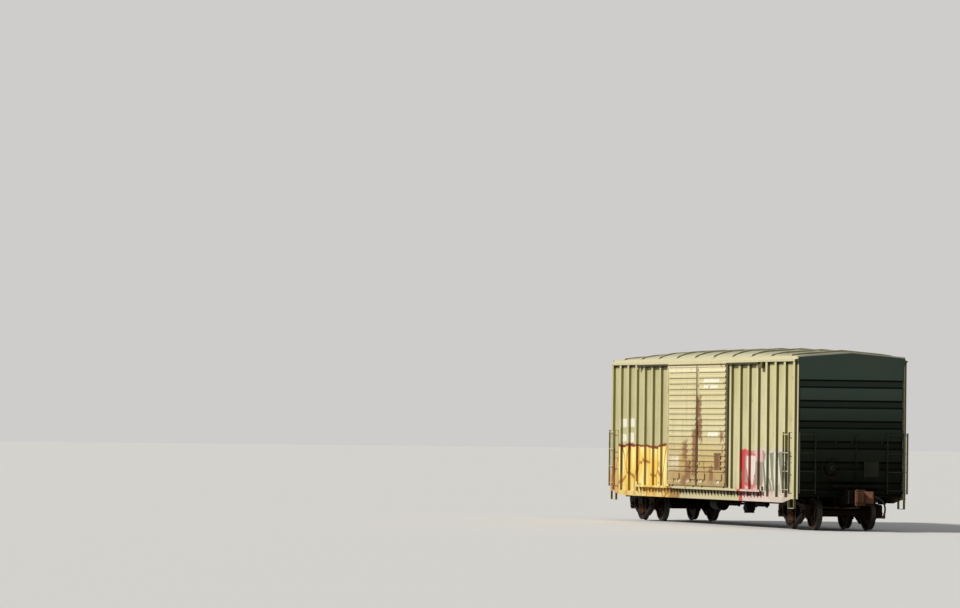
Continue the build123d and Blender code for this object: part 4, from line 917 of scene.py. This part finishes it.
def leaf_fittings(side, end):
    """What is fixed to a leaf: roller housings with their bolts and straps, the lock bar with its guides,
    a level stiffener, a handle, a hasp, and stops, and on the B half a blank board."""
    outer = TRACK_Y - 0.008
    housings = (LEAF_X0 + 0.37, LEAF_X1 - 0.74)
    parts = []
    for x in housings:
        z = LEAF_LOW + 0.2475
        parts.append(boxes([x, (LEAF_PANEL + outer) / 2, z], [0.62, outer - LEAF_PANEL - 0.006, 0.165]))
        spots = [[x + dx, outer - 0.004, z + dz] for dx in (-0.25, -0.09, 0.09, 0.25) for dz in (-0.055, 0.055)]
        parts.append(bolts(spots, (0, 1, 0), 0.022, 0.005))
        straps = [[x + dx, LEAF_PANEL + 0.012, LEAF_LOW + 0.12] for dx in (-0.16, 0.16)]
        parts.append(boxes(straps, [0.05, 0.024, 0.22]))
    bar_x, bar_y = LEAF_X0 + 0.035, LEAF_FACE - 0.002
    parts.append(rods([bar_x, bar_y, LEAF_LOW + 0.06], [bar_x, bar_y, LEAF_HIGH - 0.06], 0.010))
    guides = [[bar_x, LEAF_FACE, z] for z in np.arange(LEAF_LOW + 0.16, LEAF_HIGH - 0.05, 0.43)]
    parts.append(boxes(guides, [0.060, 0.018, 0.050]))
    middle = (LEAF_X0 + LEAF_X1) / 2
    parts.append(boxes([middle, LEAF_PANEL + 0.014, LEAF_LOW + 0.41], [LEAF_X1 - LEAF_X0 - 0.14, 0.026, 0.050]))
    handle_x, handle_low, handle_high = 0.60, 1.55, 1.80
    route = ((LEAF_PANEL, handle_high), (outer - 0.010, 1.79), (outer - 0.008, 1.76), (outer - 0.008, 1.60),
             (outer - 0.010, 1.56), (LEAF_PANEL, handle_low))
    parts.append(tube([[handle_x, y, z] for y, z in route], 0.010, (1, 0, 0), 8))
    feet = [[handle_x, LEAF_PANEL + 0.004, z] for z in (handle_high, handle_low)]
    parts.append(boxes(feet, [0.05, 0.010, 0.07]))
    hasp_z = 1.68
    parts.append(boxes([0.13, LEAF_FACE - 0.004, hasp_z], [0.20, 0.014, 0.060]))
    parts.append(boxes([0.055, LEAF_FACE, hasp_z], [0.05, 0.016, 0.16]))
    parts.append(boxes([[LEAF_X1 - 0.030, LEAF_FACE - 0.002, z] for z in (1.55, 2.6, 3.7)], [0.045, 0.012, 0.16]))
    name = f"door_{side}_{end}"
    parts = mirrored(parts, SIDES[side], ENDS[end])
    piece(name + "_fittings", parts, "door", name, round_edge=0.002)
    if end == "b":
        board_x = 1.78
        board = [boxes([board_x, LEAF_FACE - 0.002, 1.75], [0.52, 0.016, 0.40]),
                 boxes([[board_x, LEAF_FACE + 0.003, z] for z in (1.535, 1.965)], [0.56, 0.014, 0.03])]
        piece(name + "_board", mirrored(board, SIDES[side], 1), "board", name, round_edge=0.002)


# Side, ends and underframe fittings

def side_fittings():
    """On both sides: rows of rivets along the side plate and the sill, bolts of the upper track, ladder feet
    at the tracks' ends, and columns of rivets beside the doorway and the corners. The upper track has a stop
    at one end on each side, beyond the reach of an open leaf."""
    out = (0, 1, 0)
    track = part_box("upper_door_tracks")
    rows = (  # reach, height, half length, pitch, radius and height of a head
        (POST_Y + 0.017, PLATE_LOW + 0.045, 7.72, 0.181, 0.011, 0.006),
        (POST_Y - 0.001, SILL_HIGH - 0.062, 7.20, 0.1811, 0.011, 0.006),
        (POST_Y - 0.001, SILL_LOW + 0.025, 6.80, 0.2, 0.010, 0.006),
        (TRACK_Y - 0.0005, track[1].z - 0.030, 5.10, 0.3, 0.009, 0.0004),
    )
    parts = [rivets([[x, y, z] for x in np.arange(-half, half + 0.01, pitch)], out, radius, height)
             for y, z, half, pitch, radius, height in rows]
    columns = (  # places, lowest height, pitch
        ((-2.698, -2.498, 2.478, 2.678), 1.10, 0.22),
        ((-7.75, 7.75), 0.92, 0.20),
    )
    for places, low, pitch in columns:
        spots = [[x, POST_Y - 0.001, z] for x in places for z in np.arange(low, 4.35, pitch)]
        parts.append(rivets(spots, out, 0.011, 0.005))
    middle, depth = (POST_Y + TRACK_Y) / 2, TRACK_Y - POST_Y
    for z, height in ((track[1].z - 0.06, 0.14), (LEAF_LOW - 0.02, 0.12)):
        feet = [[x, middle - 0.02, z] for x in (track[0].x - 0.05, track[1].x + 0.05)]
        parts.append(boxes(feet, [0.10, depth - 0.02, height]))
    stop_x, stop_z = 5.20, 4.345
    stops = boxes([[-stop_x, middle, stop_z], [stop_x, -middle, stop_z]], [0.36, depth, 0.17])
    piece("track_stops", [stops], "track_stop", round_edge=0.004)
    piece("side_fittings", parts + mirrored(parts, -1), "side")


def end_fittings():
    """On both ends a blank board, and hand holds over the platform and beside the ladders. On the brake end
    the air brake's bleed pipe with its small valve."""
    near, out = RIB_X - 0.002, RIB_X + 0.055
    hold_z = 2.33
    holds = []
    for y0, y1 in ((-0.98, -0.42), (0.02, 0.86)):
        route = ((near, y0), (out - 0.01, y0 + 0.005), (out, y0 + 0.02), (out, y1 - 0.02), (out - 0.01, y1 - 0.005),
                 (near, y1))
        holds.append(tube([[x, y, hold_z] for x, y in route], 0.011, (0, 0, 1), 8))
        holds.append(boxes([[near + 0.004, y, hold_z] for y in (y0, y1)], [0.012, 0.05, 0.09]))
    board_z = 1.62
    board = [boxes([near + 0.022, 0.564, board_z], [0.020, 0.414, 0.397]),
             boxes([[near + 0.006, y, board_z] for y in (0.40, 0.73)], [0.014, 0.04, 0.46])]
    for end in "ba":
        piece(f"end_fittings_{end}", mirrored(holds, ENDS[end], ENDS[end]), "end")
    for end in "ba":
        parts = mirrored(board, ENDS[end], ENDS[end])
        piece(f"end_board_{end}", parts, "dark_board", round_edge=0.003)
    pipe_x, pipe_y = RIB_X + 0.03, 0.13
    bulb = ((0, 0.02), (0.1, 0.036), (0.7, 0.036), (1, 0.018))
    bleed = [tube([[pipe_x, pipe_y, z] for z in (1.22, 1.6, 2.0, 2.42)], 0.013, (0, 1, 0), 10),
             boxes([[RIB_X + 0.005, pipe_y, z] for z in (1.45, 1.98, 2.38)], [0.034, 0.07, 0.03]),
             lathes([pipe_x, pipe_y, 2.38], [pipe_x, pipe_y, 2.50], bulb, 16)]
    piece("bleed_pipe", bleed, "end")


def brake_pan(y0, z0):
    """The hand brake's rounded pan: rings of a superellipse, |cos|^0.45 by |sin|^0.45, that shrink towards
    the pan's face."""
    depth = np.array([0, 0.02, 0.09, 0.112, 0.12, 0.12])
    scale = np.array([1.04, 1.0, 0.97, 0.90, 0.78, 0.30])[:, None]
    around, corner = 40, 0.45
    turn = np.linspace(0, 2 * math.pi, around, endpoint=False)
    dy, dz = (half * np.sign(wave) * np.abs(wave) ** corner
              for half, wave in ((0.135, np.cos(turn)), (0.172, np.sin(turn))))
    x = np.broadcast_to((RIB_X + depth)[:, None], (len(depth), around))
    rings = np.stack([x, y0 + scale * dy, z0 + scale * (dz - 0.010)], -1)
    caps = np.stack([np.arange(around)[::-1], np.arange(around) + (len(depth) - 1) * around])
    return rings.reshape(-1, 3), [quads(len(depth), around, round_cols=True), caps]


def brake_chain(x, y0, top, links):
    """A hanging chain: oval links, turned a quarter from one to the next."""
    height, width, pitch, points = 0.062, 0.032, 0.046, 14
    angle = np.linspace(0, 2 * math.pi, points, endpoint=False)
    across, up = np.cos(angle) * width / 2, np.sin(angle) * height / 2
    level = np.zeros(points)
    parts = []
    for i in range(links):
        dx, dy = (across, level) if i % 2 else (level, across)
        path = np.stack([x + dx, y0 + dy, top - i * pitch + up], -1)
        parts.append(tube(path, 0.0065, (0, 1, 0) if i % 2 else (1, 0, 0), 6, closed=True))
    return parts


def hand_brake_gear():
    """The brake's pan with its bolts, the wheel's bearing, the chain guide, and the chain and rod below."""
    y0, z0 = -0.58, 1.645
    chain_x = RIB_X + 0.028
    spots = [[RIB_X + 0.112, y0 + 0.105 * s, z0 - 0.01 + dz] for s in (-1, 1) for dz in (-0.13, -0.045, 0.045, 0.13)]
    parts = [brake_pan(y0, z0),
             bolts(spots, (1, 0, 0), 0.022, 0.012),
             lathes([RIB_X + 0.118, y0, z0], [RIB_X + 0.135, y0, z0], ((0, 0.075), (0.6, 0.070), (1, 0.05)), 24),
             boxes([RIB_X + 0.025, y0, z0 - 0.24], [0.050, 0.090, 0.12]),
             *brake_chain(chain_x, y0, z0 - 0.31, 9),
             rods([chain_x, y0, z0 - 0.70], [chain_x, y0, 0.932], 0.011)]
    piece("hand_brake_gear", parts, "end", replaces=["hand_brake"], angle=40)
    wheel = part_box("brake_wheel")
    hub = np.array([wheel[1].x - 0.02, (wheel[0].y + wheel[1].y) / 2, (wheel[0].z + wheel[1].z) / 2])
    nut = lathes(hub, hub + [0.016, 0, 0], ((0, 0.050), (0.5, 0.050), (1, 0.034)), 20)
    piece("brake_wheel_nut", [nut], "bare")


def brake_linkage():
    """The linkage under the centre sill: levers on hangers, the slack adjuster and its rod, a slim cylinder,
    pins, and the pipe from the valve."""
    sill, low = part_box("centre_sill")[0].z, 0.500
    rod_z = low + 0.075
    levers = (-2.62, -1.02, 0.42, 1.30)
    pins = np.array([[x, y, rod_z] for x in levers for y in (-0.06, 0.045)])
    adjuster = ((0, 0.020), (0.06, 0.052), (0.10, 0.062), (0.90, 0.062), (0.94, 0.052), (1, 0.020))
    cylinder = ((0, 0.030), (0.08, 0.070), (1, 0.070))
    pipe = ((1.95, 0.60, 0.640), (1.70, 0.58, 0.630), (1.66, 0.52, 0.630), (1.66, 0.10, 0.640),
            (1.62, 0.02, 0.650), (1.40, 0.0, 0.660), (-0.20, 0.0, 0.660), (-2.50, 0.0, 0.660))
    parts = [boxes([[x, 0.0, (low + sill) / 2] for x in levers], [0.150, 0.024, sill - low]),
             boxes([[x, y, sill - 0.09] for x in levers for y in (-0.05, 0.05)], [0.09, 0.016, 0.180]),
             lathes([-2.55, 0.0, rod_z], [-1.08, 0.0, rod_z], adjuster, 20),
             rods([-1.08, 0.0, rod_z], [1.34, 0.0, rod_z], 0.022),
             lathes([0.42, 0.0, low + 0.095], [1.28, 0.0, low + 0.095], cylinder, 20),
             rods(pins, pins + [0, 0.015, 0], 0.026),
             tube(pipe, 0.017, (0, 0, 1), 8)]
    piece("brake_linkage", parts, "underframe")


def coil(centre, mean_radius, wire, low, high, turns, start):
    """A closed coil spring: a helix whose pitch closes up at both ends, as a tube that turns with it."""
    points_a_turn, closing = 18, 0.06
    share = np.linspace(0, 1, int(turns * points_a_turn))
    angle = start + share * turns * 2 * math.pi
    out = np.stack([np.cos(angle), np.sin(angle), np.zeros(len(share))], -1)
    path = np.array([*centre, 0]) + out * mean_radius
    path[:, 2] = low + wire + (high - low - 2 * wire) * (share - closing * np.sin(2 * math.pi * share))
    return tube(path, wire, out, 8)


def truck_springs(end):
    """Nests of six coil springs, one coil inside another, between each side frame's seat and the bolster."""
    low, high = (corner.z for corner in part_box(f"spring_nests_{end}"))
    parts = []
    for side in SIDES.values():
        for i, dx in enumerate((-0.13, 0.0, 0.13)):
            for dy in (-0.07, 0.07):
                centre = (ENDS[end] * TRUCK_X + dx, side * (JOURNAL_Y + dy))
                parts.append(coil(centre, 0.045, 0.0125, low, high, 5.6, i * 1.7 + dy * 20))
                parts.append(coil(centre, 0.022, 0.0075, low, high, 8.4, i))
    piece(f"coil_springs_{end}", parts, "spring", f"truck_{end}", [f"spring_nests_{end}"], angle=60)


def axle_bolts(end, number):
    """Three bolts and a ring on the cap of each bearing."""
    centre = axle_x(end, number)
    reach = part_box(f"axle_{end}{number}")[1].y - 0.001
    angle, out = np.arange(3) * 2 * math.pi / 3 + 0.4, 0.052
    x, z = centre + out * np.cos(angle), AXLE_Z + out * np.sin(angle)
    parts = []
    for side in SIDES.values():
        parts.append(bolts(np.stack([x, np.full(3, side * reach), z], -1), (0, side, 0), 0.034, 0.022))
        parts.append(lathes([centre, side * (reach - 0.004), AXLE_Z], [centre, side * (reach + 0.003), AXLE_Z],
                            ((0, 0.088), (1, 0.084)), 32))
    piece(f"axle_bolts_{end}{number}", parts, "casting", f"wheelset_{end}{number}", angle=30)


# Widths of the castings' rounded edges, in metres
TRUCK_CASTINGS = {"side_frames": 0.010, "truck_bolster": 0.010, "bearing_adapters": 0.005, "brake_beams": 0.006}
BODY_CASTINGS = {"couplers": 0.010, "coupler_knuckles": 0.012, "hose_couplings": 0.006, "brake_cylinder": 0.006,
                 "air_reservoir": 0.004, "control_valve": 0.004}


def finish_of(node):
    """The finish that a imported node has."""
    for finish, nodes in NODE_FINISHES.items():
        if node in nodes:
            return finish
    raise ValueError(f"no finish for {node}")


def cast_pieces():
    """The castings with rounded edges, in place of their sharp nodes."""
    castings = [(f"{node}_{end}", f"truck_{end}", width) for node, width in TRUCK_CASTINGS.items() for end in ENDS]
    castings += [(node, "car_body", width) for node, width in BODY_CASTINGS.items()]
    for node, body, width in castings:
        finish = finish_of(node)
        softened(node + "_cast", node, finish, body, width)


# Hoses. The points of each route, in metres, from the angle cock's mouth down

HOSE_DIAMETER = 0.050
HOSE_ROUTE = ((8.650, 0.375, 0.905), (8.658, 0.462, 0.883), (8.672, 0.543, 0.832), (8.688, 0.605, 0.756),
              (8.700, 0.639, 0.666), (8.706, 0.646, 0.571), (8.708, 0.626, 0.481))


def air_hose(end):
    """A brake hose: a smooth curve drawn towards the points of its route, from the angle cock, and its two
    clamps. Returns both, and the place where the hose leaves the cock."""
    sign = ENDS[end]
    curve = bpy.data.curves.new(f"brake_hose_{end}", "CURVE")
    curve.dimensions = "3D"
    line = curve.splines.new("NURBS")
    line.points.add(len(HOSE_ROUTE) - 1)
    for point, (x, y, z) in zip(line.points, HOSE_ROUTE):
        point.co = (x * sign, y * sign, z, 1.0)
    line.order_u = 3
    line.use_endpoint_u = True
    line.resolution_u = 12
    curve.bevel_depth = HOSE_DIAMETER / 2
    curve.bevel_resolution = 6
    curve.use_fill_caps = True
    curve.materials.append(FINISHES["rubber"])
    hose = bpy.data.objects.new(f"brake_hose_{end}", curve)
    bpy.context.scene.collection.objects.link(hose)
    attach(hose, "car_body")
    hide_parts(f"air_hose_{end}")
    route = np.array(HOSE_ROUTE)
    mouth, tail = route[0], route[-1]
    first, last = ((run / np.linalg.norm(run)) for run in (route[1] - mouth, tail - route[-2]))
    band = ((0, 0.0262), (0.1, 0.0285), (0.9, 0.0285), (1, 0.0262))
    starts, ends = [mouth + first * 0.012, tail - last * 0.045], [mouth + first * 0.034, tail - last * 0.023]
    bands = mirrored([lathes(starts, ends, band, 24)], sign, sign)
    clamp = piece(f"hose_clamps_{end}", bands, "coupler")
    return hose, clamp, (mouth * [sign, sign, 1]).tolist()


# Stage

FLOOR_PAINT = (0.72, 0.71, 0.69)
FLOOR_BOUNCE = (0.20, 0.19, 0.17)
BACKDROP = (0.62, 0.61, 0.60)
SUN_FROM = (-0.22, -0.76, 0.58)
SUN_ENERGY, SUN_COLOUR, SUN_DEGREES = 3.25, (1.0, 0.965, 0.90), 5
FILL_STRENGTH, FILL_COLOUR = 0.30, (0.90, 0.95, 1.0)
CAMERA_PLACE = (146.9487, -51.5033, 2.5721 + RAIL)
YAW, PITCH, ROLL = 1.28202595, 0.02185749, 0.01183999
FOCAL_PIXELS, FRAME_PIXELS = 5652.265, 960


def direct_ray(tree):
    """A socket that is 1 for rays from the camera and for those that metal or glass sends on."""
    ray = tree.nodes.new("ShaderNodeLightPath")
    seen = ray.outputs["Is Camera Ray"]
    for other in ("Is Glossy Ray", "Is Transmission Ray"):
        either = tree.nodes.new("ShaderNodeMath")
        either.operation = "MAXIMUM"
        tree.links.new(seen, either.inputs[0])
        tree.links.new(ray.outputs[other], either.inputs[1])
        seen = either.outputs[0]
    return seen


def make_camera():
    """The camera at the photograph's place, turned by yaw, pitch and roll."""
    forward = Vector((-math.sin(YAW) * math.cos(PITCH), math.cos(YAW) * math.cos(PITCH), math.sin(PITCH)))
    right = Vector((math.cos(YAW), math.sin(YAW), 0))
    up = right.cross(forward)
    level, upright = right * math.cos(ROLL) + up * math.sin(ROLL), up * math.cos(ROLL) - right * math.sin(ROLL)
    camera = bpy.data.objects.new("camera", bpy.data.cameras.new("camera"))
    camera.data.sensor_width = 36.0
    camera.data.lens = FOCAL_PIXELS / FRAME_PIXELS * camera.data.sensor_width
    camera.data.clip_end = 2000
    turn = Matrix((level, upright, -forward)).transposed().to_4x4()
    camera.matrix_world = Matrix.Translation(CAMERA_PLACE) @ turn
    bpy.context.scene.collection.objects.link(camera)
    bpy.context.scene.camera = camera


def make_floor():
    """A pale floor, which lights the underside a little less than it shows."""
    ground = bpy.data.meshes.new("studio_floor")
    far = 600.0
    ground.from_pydata([(-far, -far, 0), (far, -far, 0), (far, far, 0), (-far, far, 0)], [], [(0, 1, 2, 3)])
    floor = bpy.data.objects.new("studio_floor", ground)
    bpy.context.scene.collection.objects.link(floor)
    paint = Finish("studio_floor", Roughness=0.9)
    paint.colour = paint.mix(FLOOR_BOUNCE, FLOOR_PAINT, Shade(paint, direct_ray(paint.tree)))
    ground.materials.append(paint.give())


def make_lights():
    """A soft sun from the -Y side, an even pale fill, and a backdrop that only direct rays see."""
    key = bpy.data.objects.new("key_light", bpy.data.lights.new("key_light", "SUN"))
    key.data.energy = SUN_ENERGY
    key.data.angle = math.radians(SUN_DEGREES)
    key.data.color = SUN_COLOUR
    key.matrix_world = Vector(SUN_FROM).to_track_quat("Z", "Y").to_matrix().to_4x4()
    bpy.context.scene.collection.objects.link(key)
    world = bpy.data.worlds.new("studio")
    world.use_nodes = True
    tree = world.node_tree
    fill = tree.nodes["Background"]
    fill.inputs["Color"].default_value = (*FILL_COLOUR, 1)
    fill.inputs["Strength"].default_value = FILL_STRENGTH
    shown = tree.nodes.new("ShaderNodeBackground")
    shown.inputs["Color"].default_value = (*BACKDROP, 1)
    chosen = tree.nodes.new("ShaderNodeMixShader")
    for socket, source in enumerate((direct_ray(tree), fill.outputs[0], shown.outputs[0])):
        tree.links.new(source, chosen.inputs[socket])
    tree.links.new(chosen.outputs[0], tree.nodes["World Output"].inputs["Surface"])
    bpy.context.scene.world = world
    bpy.context.scene.view_settings.view_transform = "Standard"


# Settings, operators and panel

def colour_setting(name, description, value):
    return bpy.props.FloatVectorProperty(name=name, description=description, subtype="COLOR", size=3, min=0, max=1,
                                         default=srgb(*value))


class BoxcarColours(bpy.types.PropertyGroup):
    """Colours of the boxcar's finishes."""
    side: colour_setting("Side paint", "Pale green of the side sheets and posts", (210, 202, 152))
    faded: colour_setting("Faded paint", "Chalky tone that the side paint fades to", (222, 214, 172))
    door: colour_setting("Door paint", "Warmer green of the door leaves", (218, 207, 160))
    end: colour_setting("End paint", "Dark green of the ends", (92, 112, 102))
    trim: colour_setting("End fittings", "Grimy green of the ends' ladders and hand brake", (72, 78, 65))
    roof: colour_setting("Roof paint", "Grey-green of the roof", (110, 112, 88))
    underframe: colour_setting("Underframe paint", "Grimy black of the frame below the floor", (18, 16, 14))
    casting: colour_setting("Truck castings", "Dark dusty brown of the trucks", (30, 22, 17))
    coupler: colour_setting("Coupler rust", "Brown rust of the couplers", (104, 72, 52))
    board: colour_setting("Boards", "Weathered brown of the blank boards", (150, 118, 80))


class BoxcarSizes(bpy.types.PropertyGroup):
    """Sizes of the modelled pieces that can be set by themselves."""
    roof_emboss: bpy.props.FloatProperty(name="Roof emboss", description="Height of the raised X of a roof panel",
                                         default=0.018, min=0, max=0.03, unit="LENGTH")


class BOXCAR_OT_stage(bpy.types.Operator):
    """Makes the camera, the floor and the lights."""
    bl_idname = "boxcar.stage"
    bl_label = "Make the stage"

    def execute(self, context):
        make_camera()
        make_floor()
        make_lights()
        return {"FINISHED"}


class BOXCAR_OT_finishes(bpy.types.Operator):
    """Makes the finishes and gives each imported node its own."""
    bl_idname = "boxcar.finishes"
    bl_label = "Paint the packed nodes"

    def execute(self, context):
        FINISHES.update(all_finishes(context.scene.boxcar_colours))
        for finish, nodes in NODE_FINISHES.items():
            for node in nodes:
                put_on(node, FINISHES[finish])
        for end in ENDS:
            for number in AXLES:
                put_on(f"wheels_{end}{number}", FINISHES[f"wheel_{end}{number}"])
                put_on(f"axle_{end}{number}", FINISHES["casting"])
        return {"FINISHED"}


def put_on(node, material):
    """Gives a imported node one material."""
    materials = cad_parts[node].data.materials
    materials.clear()
    materials.append(material)


class BOXCAR_OT_hoses(bpy.types.Operator):
    bl_idname = "boxcar.hoses"
    bl_label = "Hang the hoses"

    def execute(self, context):
        hoses = {end: air_hose(end) for end in ENDS}
        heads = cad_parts["hose_couplings"]
        for end, (hose, clamp, exit_point) in hoses.items():
            with_pieces = [clamp, heads] if end == "b" else [clamp]
        return {"FINISHED"}


class BOXCAR_OT_roof(bpy.types.Operator):
    """Makes the embossed roof and its seam caps."""
    bl_idname = "boxcar.roof"
    bl_label = "Make the roof"

    def execute(self, context):
        roof_sheets(context.scene.boxcar_sizes)
        seam_caps()
        return {"FINISHED"}


class BOXCAR_OT_ends(bpy.types.Operator):
    """Makes the two corrugated ends and what is fixed to them."""
    bl_idname = "boxcar.ends"
    bl_label = "Make the ends"

    def execute(self, context):
        for end in ENDS:
            end_sheets(end)
        end_fittings()
        hand_brake_gear()
        return {"FINISHED"}


class BOXCAR_OT_doors(bpy.types.Operator):
    """Makes the four door leaves and their fittings."""
    bl_idname = "boxcar.doors"
    bl_label = "Make the doors"

    def execute(self, context):
        for side in SIDES:
            for end in ENDS:
                door_leaf(side, end, LEAF_DENTS[f"{side}_{end}"])
                leaf_fittings(side, end)
        return {"FINISHED"}


class BOXCAR_OT_sides(bpy.types.Operator):
    """Makes the rivets, stops and bolts of the sides."""
    bl_idname = "boxcar.sides"
    bl_label = "Make the side fittings"

    def execute(self, context):
        side_fittings()
        return {"FINISHED"}


class BOXCAR_OT_trucks(bpy.types.Operator):
    """Makes the brake linkage, the springs, the bolts of the bearings and the rounded castings."""
    bl_idname = "boxcar.trucks"
    bl_label = "Make the trucks and castings"

    def execute(self, context):
        for end in ENDS:
            truck_springs(end)
            for number in AXLES:
                axle_bolts(end, number)
        brake_linkage()
        cast_pieces()
        return {"FINISHED"}


OPERATORS = (BOXCAR_OT_stage, BOXCAR_OT_finishes, BOXCAR_OT_hoses, BOXCAR_OT_roof, BOXCAR_OT_ends, BOXCAR_OT_doors,
             BOXCAR_OT_sides, BOXCAR_OT_trucks)


class BOXCAR_PT_panel(bpy.types.Panel):
    """The boxcar's settings and steps."""
    bl_idname = "BOXCAR_PT_panel"
    bl_label = "Boxcar"
    bl_space_type = "VIEW_3D"
    bl_region_type = "UI"
    bl_category = "Boxcar"

    def draw(self, context):
        column = self.layout.column()
        for group in (context.scene.boxcar_colours, context.scene.boxcar_sizes):
            for name in group.__annotations__:
                column.prop(group, name)
        for operator in OPERATORS:
            column.operator(operator.bl_idname)


CLASSES = (BoxcarColours, BoxcarSizes, *OPERATORS, BOXCAR_PT_panel)


def register():
    for made in CLASSES:
        bpy.utils.register_class(made)
    bpy.types.Scene.boxcar_colours = bpy.props.PointerProperty(type=BoxcarColours)
    bpy.types.Scene.boxcar_sizes = bpy.props.PointerProperty(type=BoxcarSizes)


def unregister():
    del bpy.types.Scene.boxcar_sizes
    del bpy.types.Scene.boxcar_colours
    for made in reversed(CLASSES):
        bpy.utils.unregister_class(made)


def main():
    """Runs every step in order."""
    register()
    bpy.ops.boxcar.stage()
    bpy.ops.boxcar.finishes()
    bpy.ops.boxcar.hoses()
    bpy.ops.boxcar.roof()
    bpy.ops.boxcar.ends()
    bpy.ops.boxcar.doors()
    bpy.ops.boxcar.sides()
    bpy.ops.boxcar.trucks()


if __name__ == "__main__":
    main()
